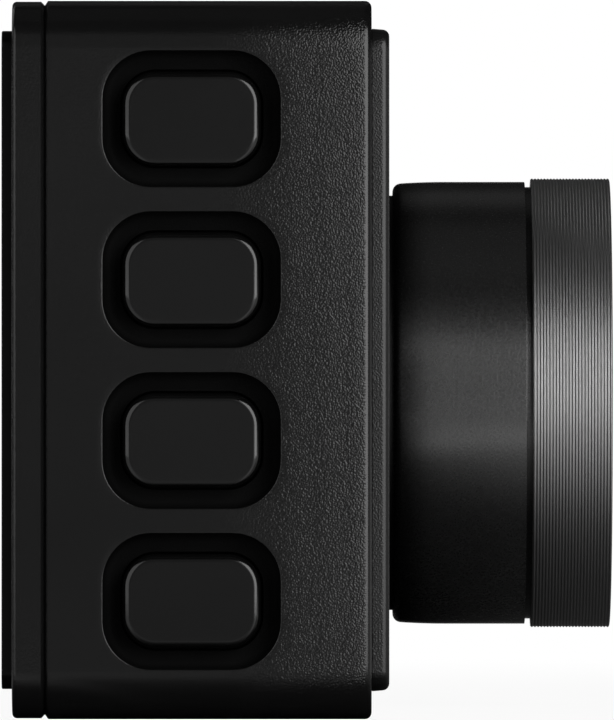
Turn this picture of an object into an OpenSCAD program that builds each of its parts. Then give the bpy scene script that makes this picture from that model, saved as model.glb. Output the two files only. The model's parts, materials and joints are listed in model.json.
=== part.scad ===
// Compact windscreen camera: a box casing with a rear display, a ribbed lens and four side keys.
// Millimetres. X runs to the right of someone reading the display, Y along the optical axis, Z up.
// The origin is on the underside of the casing, at the middle of its width and depth.

/* [Casing] */
// Width of the casing
body_w = 56.2; // [54:0.1:72]
// Height of the casing
body_h = 40.5; // [40:0.1:52]
// Depth of the main shell
shell_d = 18.4; // [18:0.1:24]
// Depth of the rear frame
frame_d = 1.85; // [1.7:0.05:3]
// Corner radius of the casing, seen from the front
corner_r = 2.7; // [2:0.1:4]
// How far the rear frame stands in from the shell all round
frame_step = 0.05; // [0:0.01:0.2]
// Wall of the shell, apart from the key side
wall = 1.6; // [1.3:0.05:2]
// Wall of the shell on the key side, which holds the key pockets
key_wall = 2.8; // [2.6:0.05:3.4]
// Front wall of the shell
front_wall = 1.6; // [1.3:0.05:2.2]
// Thickness of the front plate, which stands proud of the shell
plate_t = 1.0; // [0.8:0.05:1.6]
// How far the front plate stands in from the shell all round
plate_inset = 1.575; // [1:0.025:2]

/* [Display] */
// How far the cover glass stands in from the casing all round
glass_inset = 1.7; // [1.4:0.05:2.4]
// Thickness of the cover glass
glass_t = 1.0; // [0.8:0.05:1.4]
// How far the cover glass stands proud of the rear frame
glass_proud = 0.6; // [0.3:0.05:0.8]
// Corner radius of the cover glass
glass_r = 1.0; // [0.6:0.1:2]
// Frame ledge under the glass, left and right of the display
ledge_side = 3.9; // [3.7:0.1:6]
// Frame ledge under the glass, above and below the display
ledge_end = 2.05; // [1.8:0.05:4]
// Thickness of the display panel
lcd_t = 1.0; // [0.8:0.05:1.3]
// Thickness of the backlight
backlight_t = 1.2; // [1:0.05:1.6]

/* [Lens] */
// Optical axis from the middle of the casing, negative away from the keys
lens_x = -9.0; // [-10:0.1:-8]
// Optical axis below the middle of the casing's height
lens_drop = 2.5; // [0:0.1:3]
// Diameter of the lens barrel
barrel_d = 25.8; // [21:0.1:26.4]
// Length of the lens barrel
barrel_len = 7.7; // [7:0.1:12]
// Rounding of the barrel's rear edge
barrel_edge_r = 0.9; // [0.2:0.1:1.2]
// How far the collar behind the barrel stands in from it all round
collar_step = 0.8; // [0.4:0.1:1]
// Gap that shows the collar
collar_gap = 0.35; // [0.2:0.05:0.8]
// How far the neck between barrel and ring stands in from the barrel all round
neck_step = 0.3; // [0.1:0.05:0.6]
// Gap that shows the neck
neck_len = 0.35; // [0.2:0.05:0.8]
// How far the ribbed ring stands out from the barrel all round
ring_step = 0.2; // [0:0.05:0.4]
// Length of the ribbed ring
ring_len = 4.6; // [4.4:0.1:6]
// Ribs along the ring
rib_count = 25; // [10:1:30]
// Depth of the grooves between the ribs
rib_depth = 0.09; // [0.04:0.01:0.15]
// Wall of the barrel round the ring's spigot
barrel_wall = 1.55; // [1.2:0.05:1.8]
// Wall of the ring's spigot
spigot_wall = 2.1; // [1.5:0.1:2.4]
// Wall of the barrel's stub, which takes the screws of the lens holder
stub_wall = 3.6; // [3.2:0.1:3.8]
// Wall of the lens cell round the front element
element_wall = 0.8; // [0.6:0.05:1.2]
// Rise of the front element's dome
dome_rise = 2.8; // [2:0.1:3.2]

/* [Keys] */
// Distance from key to key
key_pitch = 9.05; // [7.7:0.05:9.1]
// Length of a key along the optical axis
key_l = 7.8; // [6.5:0.1:8]
// Height of a key
key_h = 5.3; // [4.2:0.1:5.4]
// Corner radius of a key
key_r = 1.6; // [0.6:0.05:2]
// Length of the pocket round a key
pocket_l = 10.0; // [9.6:0.1:11]
// Height of the pocket round a key
pocket_h = 7.65; // [7:0.05:8.4]
// Corner radius of a pocket
pocket_r = 2.7; // [1.5:0.1:3.4]
// Depth of a pocket
pocket_d = 1.5; // [1:0.05:1.7]
// How far a key's face lies below the side of the casing
key_recess = 0.2; // [0:0.05:0.6]
// Travel of a key
key_travel = 0.3; // [0.2:0.05:0.45]
// Running clearance round a key
key_play = 0.12; // [0.08:0.01:0.2]

/* [Mount] */
// Diameter of the ball that the magnetic socket takes
ball_d = 10.0; // [8:0.1:10.4]
// Straight wall at the mouth of the socket
mouth_len = 1.2; // [0.8:0.1:1.6]
// Clearance between ball and socket, on radius
ball_play = 0.1; // [0.05:0.05:0.2]
// Gap between the ribbed ring and the rim of the socket cup, seen from the front
socket_gap = 2.6; // [2.4:0.1:3]

/* [Ports] */
// Length of the memory card
card_l = 15.0; // [14:0.1:15]
// Width of the memory card
card_w = 11.0; // [11:0.1:12]
// Thickness of the memory card
card_t = 1.0; // [0.7:0.05:1.2]
// Width of the power socket's metal shell
usb_w = 8.94; // [8:0.01:9]
// Thickness of the power socket's metal shell
usb_t = 3.26; // [2.8:0.01:3.4]
// Length of the power socket's metal shell
usb_l = 7.35; // [6.5:0.05:8]

/* [Hidden] */
$fn = 64;

// Clearances
fit = 0.05;         // close fit, such as a peg in its hole
gap = 0.1;          // loose fit between fixed pieces
through = 1;        // how far a cutting shape runs past the face that it cuts

// Depths along Y, from the rear to the front
casing_d = frame_d + shell_d;
rear_y = -casing_d / 2;
part_y = rear_y + frame_d;
front_y = casing_d / 2;
plate_y = front_y + plate_t;
inner_y = front_y - front_wall;
mid_z = body_h / 2;
left_x = -body_w / 2;
right_x = body_w / 2;
inner_left_x = left_x + wall;
inner_right_x = right_x - key_wall;
floor_z = wall;
ceiling_z = body_h - wall;

// Display stack, from the cover glass forward
glass_w = body_w - 2 * glass_inset;
glass_h = body_h - 2 * glass_inset;
tape_t = 0.15;
glass_y = rear_y - glass_proud;
tape_y = glass_y + glass_t;
ledge_y = tape_y + tape_t;
window_w = glass_w - 2 * ledge_side;
window_h = glass_h - 2 * ledge_end;
lcd_clear = 0.3;
lcd_w = window_w - 2 * lcd_clear;
lcd_h = window_h - 2 * lcd_clear;
backlight_y = tape_y + lcd_t;
tray_floor_y = backlight_y + backlight_t;
tray_t = 0.4;
tray_rim = 0.9;
tray_y = tray_floor_y + tray_t;
flex_slot_w = 11;
flex_slot_h = 3.8;
flex_slot_rise = 6.35;
flex_slot_z = mid_z - window_h / 2 + flex_slot_rise;

// Lip of the rear frame, inside the shell
lip_t = 0.8;
lip_len = 1.4;

// Screws
shank_d = 1.4;
head_d = 2.5;
head_t = 0.6;
screw_bite = 2.2;
boss_d = 4.4;
boss_len = 3.5;
case_screw_in_x = 1.9;
case_screw_in_z = 3.55;
case_screw_x = glass_w / 2 - case_screw_in_x;
case_screw_z = glass_h / 2 - case_screw_in_z;
case_screw_len = 3.6;
seat_y = ledge_y + head_t + fit;
web_t = 2.0;

// Main board and the posts that carry it
board_t = 1.0;
board_clear = 0.925;
board_y = tray_y + board_clear;
board_front_y = board_y + board_t;
board_edge = 0.8;
post_d = 3.4;
post_inset = 2.6;
post_left_in = 6;
post_left_x = inner_left_x + post_left_in;
board_screw_len = 3.0;

// Keys and the switches behind them, from the key wall inward
key_z = [for (i = [1.5:-1:-1.5]) mid_z + i * key_pitch];
key_face_x = right_x - key_recess;
pocket_x = right_x - pocket_d;
flange_rim = 0.65;
flange_t = 0.7;
flange_x = inner_right_x - fit;
key_post_d = 2.4;
key_post_len = 0.35;
plunger_x = flange_x - flange_t - key_post_len;
plunger_d = 2.0;
plunger_out = 0.6;
plunger_flange_d = 2.8;
plunger_flange_t = 0.4;
switch_w = 4.2;
switch_lid = 0.35;
switch_t = 1.7;
switch_top_x = plunger_x - plunger_out;
switch_x = switch_top_x - switch_t;
switch_board_t = 0.8;
switch_board_x = switch_x - switch_board_t;
switch_board_d = 8.4;
rail_t = 0.8;
rail_h = 2.0;
post_right_in = 4.6;
post_right_x = switch_board_x - post_right_in;
board_right_in = 1.1;
board_right_x = switch_board_x - board_right_in;
board_left_in = 0.7;
board_left_x = inner_left_x + board_left_in;
board_notch_w = 3.9;
board_notch_h = 5.6;

// Lens, along Y
lens_z = mid_z - lens_drop;
barrel_y = plate_y + collar_gap;
neck_y = barrel_y + barrel_len;
ring_y = neck_y + neck_len;
ring_front_y = ring_y + ring_len;
ring_d = barrel_d + 2 * ring_step;
neck_d = barrel_d - 2 * neck_step;
collar_d = barrel_d - 2 * collar_step;
barrel_bore_d = barrel_d - 2 * barrel_wall;
spigot_d = barrel_bore_d - 2 * fit;
spigot_len = 3.6;
stub_step = 0.7;
stub_d = collar_d - 2 * stub_step;
rear_bore_d = stub_d - 2 * stub_wall;
thread_clear = 1.8;
thread_d = rear_bore_d - 2 * thread_clear;
cell_clear = 0.4;
ring_bore_d = spigot_d - 2 * spigot_wall;
cell_head_d = ring_bore_d - 2 * cell_clear;
front_element_d = cell_head_d - 2 * element_wall - 2 * fit;
bezel_seat = 1.1;
bezel_seat_y = ring_y + bezel_seat;
bezel_wall = 1.45;
bezel_d = ring_d - 2 * bezel_wall;
bezel_front = 0.6;
bezel_t = ring_front_y - bezel_front - bezel_seat_y;
bezel_mouth = 0.75;
bezel_clear = 0.25;
bezel_lip = 0.5;
bezel_throat_d = front_element_d + 2 * bezel_clear;
cell_front_y = bezel_seat_y - gap;
element_seat = 3.1;
element_y = cell_front_y - element_seat;
element_edge = 2.5;
dome_r = (pow(front_element_d / 2, 2) + pow(dome_rise, 2)) / (2 * dome_rise);
rear_hollow_r = 7.6;
rear_hollow_rim = 2.4;
rear_hollow_d = front_element_d - 2 * rear_hollow_rim;
middle_wall = 3.6;
middle_d = cell_head_d - 2 * middle_wall;
middle_t = 3.0;
middle_surface_r = 12.0;
thread_wall = 2.05;
rear_element_d = thread_d - 2 * thread_wall;
rear_element_t = 2.8;
rear_surface_r = 7.0;
stop_t = 0.2;
stop_hole_d = 2.0;

// Lens holder and sensor, from the front wall back
holder_d = 7.6;
holder_flange_t = 1.5;
holder_flange_rim = 0.9;
holder_flange_d = collar_d + 2 * holder_flange_rim;
holder_tube_wall = 1.6;
holder_tube_d = thread_d + 2 * holder_tube_wall;
holder_block = 17.0;
holder_block_t = 2.6;
chamber = 11.0;
chamber_t = 1.6;
filter_ledge = 2.0;
filter_hole_d = thread_d - 2 * filter_ledge;
filter_w = 9.5;
filter_t = 0.3;
sensor_y = inner_y - holder_d;
thread_y = sensor_y + holder_block_t;
head_step = 0.525;
head_y = barrel_y + head_step;
holder_pcd = (stub_d + rear_bore_d) / 2;
holder_screw_len = 3.6;
sensor_board_w = 18.0;
sensor_board_t = 0.8;
sensor_w = 8.0;
sensor_h = 6.5;
sensor_t = 0.9;
sensor_screw_at = 7.0;
sensor_screw_len = 2.8;
element_gap = 0.6;
middle_y = element_y - element_gap - middle_t;
stop_y = middle_y - element_gap;
rear_element_in = 2.0;
rear_element_y = thread_y + rear_element_in;
rear_element_seat = 0.8;

// Ball socket, magnet and battery
cup_wall = 1.15;
cup_floor = 0.8;
cup_d = ball_d + 2 * ball_play + 2 * cup_wall;
cup_recess = 0.15;
cup_rim_y = plate_y - cup_recess;
ball_y = cup_rim_y - mouth_len;
cup_y = ball_y - ball_d / 2 - ball_play - cup_floor;
magnet_t = 2.0;
magnet_d = 11.0;
magnet_y = cup_y - magnet_t;
socket_wall = 1.0;
socket_boss_d = cup_d + 2 * fit + 2 * socket_wall;
socket_boss_y = magnet_y - socket_wall;
socket_x = lens_x + ring_d / 2 + socket_gap + cup_d / 2;
socket_z = mid_z;
battery_w = 12.0;
battery_h = 27.0;
battery_t = 4.4;

// Front plate pegs
peg_d = 1.6;
peg_len = 1.2;
peg_inset = 3.2;

// Ports on the left wall
usb_rise = 6.95;
usb_z = mid_z + usb_rise;
usb_proud = 0.2;
usb_wall = 0.3;
usb_depth = 6.2;
usb_tongue_w = 6.69;
usb_tongue_t = 0.7;
usb_tongue_l = 4.45;
card_drop = 5.05;
card_z = mid_z - card_drop;
card_socket_t = 1.6;
card_socket_rim = 1.1;
card_play = 0.15;
card_floor = 0.3;
card_y = board_front_y + card_floor + card_play;
card_recess = 0.2;
card_x = left_x + card_recess;
card_back = 1.2;
card_stop = 0.4;

// Sound, light and radio
speaker_w = 15.0;
speaker_d = 9.0;
speaker_t = 3.0;
speaker_r = 1.0;
speaker_y = 0.9;
gasket_t = 0.4;
gasket_rim = 1.2;
grille_hole_d = 1.0;
grille_pitch = 2.2;
mic_w = 3.8;
mic_h = 3.0;
mic_t = 1.1;
mic_hole_d = 1.0;
mic_gasket_t = 0.3;
mic_gap = 3.7;
mic_z = socket_z + socket_boss_d / 2 + mic_gap + mic_h / 2;
antenna_w = 12.0;
antenna_d = 10.0;
antenna_t = 4.0;
antenna_y = 1.8;
pipe_d = 1.4;
led_t = 0.6;
led_w = 1.6;
pipe_x = -case_screw_x;

// Chips, connectors and ribbons
chip_t = 1.0;
chip_w = 11.0;
chip_rise = 6.75;
chip_z = mid_z + chip_rise;
pad_t = 0.5;
can_w = 15.0;
can_gap = 1.45;
chip_x = socket_x - battery_w / 2 - can_gap - can_w / 2;
can_t = 0.2;
memory_w = 8.0;
memory_h = 6.0;
memory_rise = 5.4;
memory_gap = 1.0;
memory_z = floor_z + memory_rise;
memory_x = [chip_x, post_right_x - post_d / 2 - memory_gap - memory_w / 2];
ribbon_t = 0.12;
connector_t = 1.0;
rear_connector_t = 0.75;
connector_w = 3.0;
connector_cheek = 0.5;
sensor_ribbon_w = 7.0;
sensor_ribbon_drop = 3.25;
sensor_ribbon_z = lens_z - sensor_ribbon_drop;
sensor_connector_out = 11.5;
sensor_connector_x = lens_x + sensor_connector_out;
switch_ribbon_w = 6.0;
switch_connector_in = 1.9;
switch_connector_x = switch_board_x - switch_connector_in - connector_w;
display_ribbon_w = 10.0;
display_connector_h = 1.8;
display_connector_drop = 4.4;
display_connector_z = flex_slot_z - display_connector_drop;

// Colours of the pieces
black = [0.07, 0.07, 0.07];
soot = [0.12, 0.12, 0.12];
graphite = [0.3, 0.3, 0.31];
steel = [0.62, 0.63, 0.65];
board_green = [0.05, 0.24, 0.13];
ribbon_amber = [0.7, 0.42, 0.12];
clear_glass = [0.35, 0.42, 0.5];
rubber_grey = [0.2, 0.2, 0.21];

// Rounded rectangle about the origin
module slab(w, h, r) {
    square([w - 2 * r, h], center = true);
    square([w, h - 2 * r], center = true);
    for (sx = [-1, 1], sy = [-1, 1]) {
        translate([sx * (w / 2 - r), sy * (h / 2 - r)]) circle(r);
    }
}

// Flat outlines extruded along an axis: (x, z) along Y, (y, z) along X
module along_y(y0, y1) {
    translate([0, y1, 0]) rotate([90, 0, 0]) linear_extrude(y1 - y0) children();
}
module along_x(x0, x1) {
    translate([x0, 0, 0]) rotate([90, 0, 90]) linear_extrude(x1 - x0) children();
}

// Round bars along an axis
module rod_y(x, z, d, y0, y1) {
    translate([x, y0, z]) rotate([-90, 0, 0]) cylinder(d = d, h = y1 - y0);
}
module rod_x(y, z, d, x0, x1) {
    translate([x0, y, z]) rotate([0, 90, 0]) cylinder(d = d, h = x1 - x0);
}

// Boxes given by their two corners
module block(low, high) {
    translate(low) cube(high - low);
}

// Turned pieces on the optical axis, from a profile of (radius, y) points
module turned() {
    translate([lens_x, 0, lens_z]) rotate([-90, 0, 0]) rotate_extrude() children();
}
module lens_rod(d, y0, y1) {
    rod_y(lens_x, lens_z, d, y0, y1);
}
module lens_ball(y, r) {
    translate([lens_x, y, lens_z]) sphere(r, $fn = 128);
}

// Pan-head screw along Y whose head sits on y, with its shank towards +Y
module screw(x, z, y, len) {
    rod_y(x, z, head_d, y - head_t, y);
    rod_y(x, z, shank_d, y, y + len);
}

// Outline of a ribbon of thickness t along a route of points
function unit(v) = v / norm(v);
function side_of(v) = [-v[1], v[0]];
function mitre(route, i) =
    let (n = len(route) - 1,
         before = side_of(unit(i == 0 ? route[1] - route[0] : route[i] - route[i - 1])),
         after = side_of(unit(i == n ? route[n] - route[n - 1] : route[i + 1] - route[i])),
         mean = unit(before + after))
    mean / (mean * before);
function ribbon(route, t) = concat(
    [for (i = [0:len(route) - 1]) route[i] + mitre(route, i) * t / 2],
    [for (i = [len(route) - 1:-1:0]) route[i] - mitre(route, i) * t / 2]
);

// Places of the screws and posts
module at_case_screws() {
    for (sx = [-1, 1], sz = [-1, 1]) translate([sx * case_screw_x, 0, mid_z + sz * case_screw_z]) children();
}
module at_posts() {
    for (x = [post_left_x, post_right_x], z = [floor_z + post_inset, ceiling_z - post_inset]) {
        translate([x, 0, z]) children();
    }
}
module at_holder_screws() {
    for (a = [90:120:330]) {
        translate([lens_x + holder_pcd / 2 * cos(a), 0, lens_z + holder_pcd / 2 * sin(a)]) children();
    }
}
module at_sensor_screws() {
    for (s = [-1, 1]) translate([lens_x + s * sensor_screw_at, 0, lens_z + s * sensor_screw_at]) children();
}
module at_pegs() {
    px = body_w / 2 - plate_inset - peg_inset;
    pz = body_h / 2 - plate_inset - peg_inset;
    for (sx = [-1, 1], sz = [-1, 1]) translate([sx * px, 0, mid_z + sz * pz]) children();
}

// Outlines that several pieces share
module casing_outline(inset = 0) {
    translate([0, mid_z]) slab(body_w - 2 * inset, body_h - 2 * inset, corner_r - inset);
}
module cavity_outline(inset = 0) {
    w = inner_right_x - inner_left_x;
    r = max(corner_r - wall, lip_t + 2 * fit + 0.1);
    translate([(inner_left_x + inner_right_x) / 2, mid_z]) {
        slab(w - 2 * inset, ceiling_z - floor_z - 2 * inset, r - inset);
    }
}
module glass_outline(inset = 0) {
    translate([0, mid_z]) slab(glass_w - 2 * inset, glass_h - 2 * inset, glass_r);
}
module window_outline(inset = 0) {
    translate([0, mid_z]) square([window_w - 2 * inset, window_h - 2 * inset], center = true);
}

// Casing
module main_shell() {
    color(soot) difference() {
        union() {
            difference() {
                along_y(part_y, front_y) casing_outline();
                along_y(part_y - through, inner_y) cavity_outline();
            }
            at_case_screws() rod_y(0, 0, boss_d, part_y, part_y + boss_len);
            for (sx = [-1, 1], sz = [-1, 1]) {
                low_x = sx < 0 ? left_x + wall / 2 : case_screw_x;
                high_x = sx < 0 ? -case_screw_x : right_x - key_wall / 2;
                z = mid_z + sz * case_screw_z;
                block([low_x, part_y, z - web_t / 2], [high_x, part_y + boss_len, z + web_t / 2]);
            }
            at_posts() rod_y(0, 0, post_d, board_front_y, inner_y + front_wall / 2);
            rod_y(socket_x, socket_z, socket_boss_d, socket_boss_y, inner_y + front_wall / 2);
            switch_rails();
        }
        for (z = key_z) translate([0, 0, z]) key_opening();
        lens_rod(stub_d + 2 * fit, inner_y - through, front_y + through);
        rod_y(socket_x, socket_z, cup_d + 2 * fit, magnet_y, front_y + through);
        at_pegs() rod_y(0, 0, peg_d + 2 * fit, front_y - peg_len - fit, front_y + through);
        at_case_screws() rod_y(0, 0, shank_d + 2 * fit, part_y - through, seat_y + case_screw_len + fit);
        at_posts() rod_y(0, 0, shank_d + 2 * fit, board_front_y - through, board_y + board_screw_len + fit);
        rod_y(socket_x, mic_z, mic_hole_d, inner_y - through, front_y + through);
        usb_opening();
        card_opening();
        speaker_grille();
    }
}

// Channels on the floor and the ceiling that hold the switch board
module switch_rails() {
    for (x = [switch_board_x - fit - rail_t, switch_x + fit], high = [false, true]) {
        z0 = high ? ceiling_z - rail_h : floor_z - wall / 2;
        z1 = high ? ceiling_z + wall / 2 : floor_z + rail_h;
        block([x, -switch_board_d / 2, z0], [x + rail_t, switch_board_d / 2, z1]);
    }
}

// Pocket and hole for one key
module key_opening() {
    along_x(pocket_x, right_x + through) slab(pocket_l, pocket_h, pocket_r);
    along_x(inner_right_x - through, right_x) {
        slab(key_l + 2 * key_play, key_h + 2 * key_play, key_r + key_play);
    }
}

module usb_opening() {
    y = board_front_y + usb_t / 2;
    translate([0, y, usb_z]) along_x(left_x - through, inner_left_x + through) {
        slab(usb_t + 2 * gap, usb_w + 2 * gap, usb_t / 2 - gap);
    }
}

module card_opening() {
    block([left_x - through, card_y - 2 * card_play, card_z - card_w / 2 - 2 * card_play],
          [inner_left_x + through, card_y + card_t + 2 * card_play, card_z + card_w / 2 + 2 * card_play]);
}

module speaker_grille() {
    for (i = [-2:2], j = [-1, 0, 1]) {
        translate([lens_x + i * grille_pitch, speaker_y + j * grille_pitch, -through]) {
            cylinder(d = grille_hole_d, h = floor_z + 2 * through);
        }
    }
}

module rear_frame() {
    color(soot) difference() {
        union() {
            along_y(rear_y, part_y) casing_outline(frame_step);
            along_y(part_y - frame_d / 4, part_y + lip_len) difference() {
                cavity_outline(gap);
                cavity_outline(gap + lip_t);
            }
        }
        along_y(rear_y - through, ledge_y) glass_outline(-gap);
        along_y(rear_y - through, part_y + through) window_outline();
        at_case_screws() rod_y(0, 0, head_d + 2 * gap, rear_y, seat_y);
        at_case_screws() rod_y(0, 0, shank_d + 2 * gap, rear_y, part_y + through);
        at_case_screws() rod_y(0, 0, boss_d + 4 * gap, part_y, part_y + lip_len + through);
        for (sx = [-1, 1], sz = [-1, 1]) {
            z = mid_z + sz * case_screw_z;
            low_x = sx < 0 ? left_x : case_screw_x;
            block([low_x, part_y, z - web_t / 2 - gap],
                  [low_x + body_w / 2 - case_screw_x, part_y + lip_len + through, z + web_t / 2 + gap]);
        }
        rod_y(pipe_x, mid_z, pipe_d + 2 * fit, rear_y, part_y + through);
    }
}

module front_plate() {
    color(soot) difference() {
        union() {
            along_y(front_y, plate_y) casing_outline(plate_inset);
            at_pegs() rod_y(0, 0, peg_d, front_y - peg_len, front_y + plate_t / 2);
        }
        lens_rod(collar_d + 2 * gap, front_y - through, plate_y + through);
        rod_y(socket_x, socket_z, cup_d + 2 * fit, front_y - through, plate_y + through);
        rod_y(socket_x, mic_z, mic_hole_d, front_y - through, plate_y + through);
    }
}

// Display
module display_glass() {
    color(black) along_y(glass_y, tape_y) glass_outline();
}

module glass_tape() {
    color(black) difference() {
        along_y(tape_y, ledge_y) glass_outline(2 * gap);
        along_y(tape_y - through, ledge_y + through) window_outline(-2 * gap);
        rod_y(pipe_x, mid_z, pipe_d + 2 * fit, tape_y - through, ledge_y + through);
    }
}

module lcd_panel() {
    color(clear_glass) along_y(tape_y, backlight_y) translate([0, mid_z]) {
        square([lcd_w, lcd_h], center = true);
    }
}

module backlight() {
    color("white") along_y(backlight_y, tray_floor_y) translate([0, mid_z]) {
        square([lcd_w, lcd_h], center = true);
    }
}

module display_tray() {
    color(steel) difference() {
        along_y(part_y, tray_y) window_outline(-tray_rim);
        along_y(part_y - through, tray_floor_y) window_outline();
        at_case_screws() rod_y(0, 0, boss_d + 4 * gap, part_y - through, tray_y + through);
        block([-flex_slot_w / 2, tray_floor_y - through, flex_slot_z - flex_slot_h / 2],
              [flex_slot_w / 2, tray_y + through, flex_slot_z + flex_slot_h / 2]);
    }
}

module display_flex() {
    panel_y = tray_floor_y + ribbon_t / 2;
    plug_y = board_y - rear_connector_t * 0.6;
    route = [
        [panel_y, flex_slot_z + flex_slot_h / 2 - 0.3],
        [panel_y, flex_slot_z],
        [plug_y, flex_slot_z - 1.4],
        [plug_y, display_connector_z + display_connector_h / 2]
    ];
    color(ribbon_amber) along_x(-display_ribbon_w / 2, display_ribbon_w / 2) polygon(ribbon(route, ribbon_t));
}

// Lens
module lens_barrel() {
    color(black) difference() {
        union() {
            lens_rod(stub_d, inner_y, front_y + fit);
            lens_rod(collar_d, front_y, barrel_y + fit);
            lens_rod(barrel_d - 2 * barrel_edge_r, barrel_y, barrel_y + 2 * barrel_edge_r);
            lens_rod(barrel_d, barrel_y + barrel_edge_r, neck_y);
            turned() translate([barrel_d / 2 - barrel_edge_r, barrel_y + barrel_edge_r]) {
                circle(barrel_edge_r);
            }
        }
        lens_rod(rear_bore_d, inner_y - through, head_y);
        lens_rod(ring_bore_d, head_y - 2 * gap, neck_y);
        lens_rod(barrel_bore_d, neck_y - spigot_len - gap, neck_y + through);
        at_holder_screws() rod_y(0, 0, shank_d + 2 * fit, inner_y - through, inner_y + screw_bite);
    }
}

// Outer profile of the ribs, from the rear of the ring to its front
function rib_profile() =
    let (pitch = ring_len / rib_count, r = ring_d / 2)
    [for (i = [0:rib_count - 1]) each [[r - rib_depth, ring_y + i * pitch], [r, ring_y + (i + 0.5) * pitch]]];

module lens_ring() {
    color(graphite) turned() polygon(concat(
        [[ring_bore_d / 2, neck_y - spigot_len], [spigot_d / 2, neck_y - spigot_len], [spigot_d / 2, neck_y],
         [neck_d / 2, neck_y], [neck_d / 2, ring_y]],
        rib_profile(),
        [[ring_d / 2 - rib_depth, ring_front_y], [bezel_d / 2 + fit, ring_front_y],
         [bezel_d / 2 + fit, bezel_seat_y], [ring_bore_d / 2, bezel_seat_y]]
    ));
}

module lens_bezel() {
    front = bezel_seat_y + bezel_t;
    color(black) turned() polygon([
        [bezel_throat_d / 2, bezel_seat_y], [bezel_d / 2, bezel_seat_y], [bezel_d / 2, front],
        [bezel_d / 2 - bezel_mouth, front], [bezel_throat_d / 2, bezel_seat_y + bezel_lip]
    ]);
}

module lens_cell() {
    color(soot) difference() {
        union() {
            lens_rod(thread_d, thread_y, head_y + fit);
            lens_rod(cell_head_d, head_y, cell_front_y);
        }
        lens_rod(front_element_d + 2 * fit, element_y, cell_front_y + through);
        lens_rod(middle_d + 2 * fit, stop_y, element_y + through);
        lens_rod(rear_element_d - 2 * rear_element_seat, thread_y - through, stop_y + through);
        lens_rod(rear_element_d + 2 * fit, thread_y - through, rear_element_y + rear_element_t);
    }
}

module front_element() {
    edge_y = element_y + element_edge;
    color(clear_glass) difference() {
        intersection() {
            lens_rod(front_element_d, element_y, edge_y + dome_rise + through);
            lens_ball(edge_y + dome_rise - dome_r, dome_r);
        }
        lens_ball(element_y - sqrt(pow(rear_hollow_r, 2) - pow(rear_hollow_d / 2, 2)), rear_hollow_r);
    }
}

module middle_element() {
    r = middle_surface_r;
    color(clear_glass) intersection() {
        lens_rod(middle_d, middle_y - through, middle_y + middle_t + through);
        lens_ball(middle_y + r, r);
        lens_ball(middle_y + middle_t - r, r);
    }
}

module rear_element() {
    r = rear_surface_r;
    color(clear_glass) intersection() {
        lens_rod(rear_element_d, rear_element_y - through, rear_element_y + rear_element_t);
        lens_ball(rear_element_y + r, r);
    }
}

module aperture_stop() {
    color(black) difference() {
        lens_rod(middle_d, stop_y, stop_y + stop_t);
        lens_rod(stop_hole_d, stop_y - through, stop_y + stop_t + through);
    }
}

module ir_filter() {
    y = sensor_y + chamber_t - filter_t;
    color(clear_glass) along_y(y, y + filter_t) translate([lens_x, lens_z]) square(filter_w, center = true);
}

module lens_holder() {
    flange_y = inner_y - holder_flange_t;
    color(black) difference() {
        union() {
            along_y(sensor_y, thread_y) translate([lens_x, lens_z]) square(holder_block, center = true);
            lens_rod(holder_tube_d, thread_y - fit, inner_y - fit);
            lens_rod(holder_flange_d, flange_y, inner_y);
        }
        along_y(sensor_y - through, sensor_y + chamber_t) translate([lens_x, lens_z]) {
            square(chamber, center = true);
        }
        lens_rod(filter_hole_d, sensor_y, thread_y);
        lens_rod(thread_d + 2 * fit, thread_y - 2 * gap, inner_y + through);
        at_holder_screws() rod_y(0, 0, shank_d + 2 * gap, flange_y - through, inner_y + through);
        at_sensor_screws() rod_y(0, 0, shank_d + 2 * fit, sensor_y - through, sensor_y + screw_bite);
    }
}

module image_sensor() {
    color(steel) along_y(sensor_y, sensor_y + sensor_t) translate([lens_x, lens_z]) {
        square([sensor_w, sensor_h], center = true);
    }
}

module sensor_board() {
    color(board_green) difference() {
        along_y(sensor_y - sensor_board_t, sensor_y) translate([lens_x, lens_z]) {
            slab(sensor_board_w, sensor_board_w, 1);
        }
        at_sensor_screws() {
            rod_y(0, 0, shank_d + 2 * gap, sensor_y - sensor_board_t - through, sensor_y + through);
        }
    }
}

module sensor_flex() {
    back_y = sensor_y - sensor_board_t - ribbon_t / 2;
    plug_y = board_front_y + connector_t * 0.7;
    bend_x = sensor_connector_x - 3;
    route = [
        [lens_x - 2, back_y], [bend_x - 1.5, back_y], [bend_x, back_y - 1],
        [bend_x, plug_y + 1], [bend_x + 1.3, plug_y], [sensor_connector_x, plug_y]
    ];
    color(ribbon_amber) translate([0, 0, sensor_ribbon_z - sensor_ribbon_w / 2]) {
        linear_extrude(sensor_ribbon_w) polygon(ribbon(route, ribbon_t));
    }
}

// Electronics
module main_board() {
    low_z = floor_z + board_edge;
    high_z = ceiling_z - board_edge;
    color(board_green) difference() {
        along_y(board_y, board_front_y) polygon([
            [board_left_x + board_notch_w, low_z], [board_right_x, low_z], [board_right_x, high_z],
            [board_left_x + board_notch_w, high_z], [board_left_x + board_notch_w, high_z - board_notch_h],
            [board_left_x, high_z - board_notch_h], [board_left_x, low_z + board_notch_h],
            [board_left_x + board_notch_w, low_z + board_notch_h]
        ]);
        at_posts() rod_y(0, 0, shank_d + 2 * gap, board_y - through, board_front_y + through);
    }
}

module front_connector(x, z, ribbon_w) {
    along_y(board_front_y, board_front_y + connector_t) translate([x + connector_w / 2, z]) {
        square([connector_w, ribbon_w + 2 * connector_cheek], center = true);
    }
}

module board_connectors() {
    color("ivory") {
        front_connector(sensor_connector_x, sensor_ribbon_z, sensor_ribbon_w);
        front_connector(switch_connector_x, mid_z, switch_ribbon_w);
        along_y(board_y - rear_connector_t, board_y) translate([0, display_connector_z]) {
            square([display_ribbon_w + 2 * connector_cheek, display_connector_h], center = true);
        }
    }
}

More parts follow.
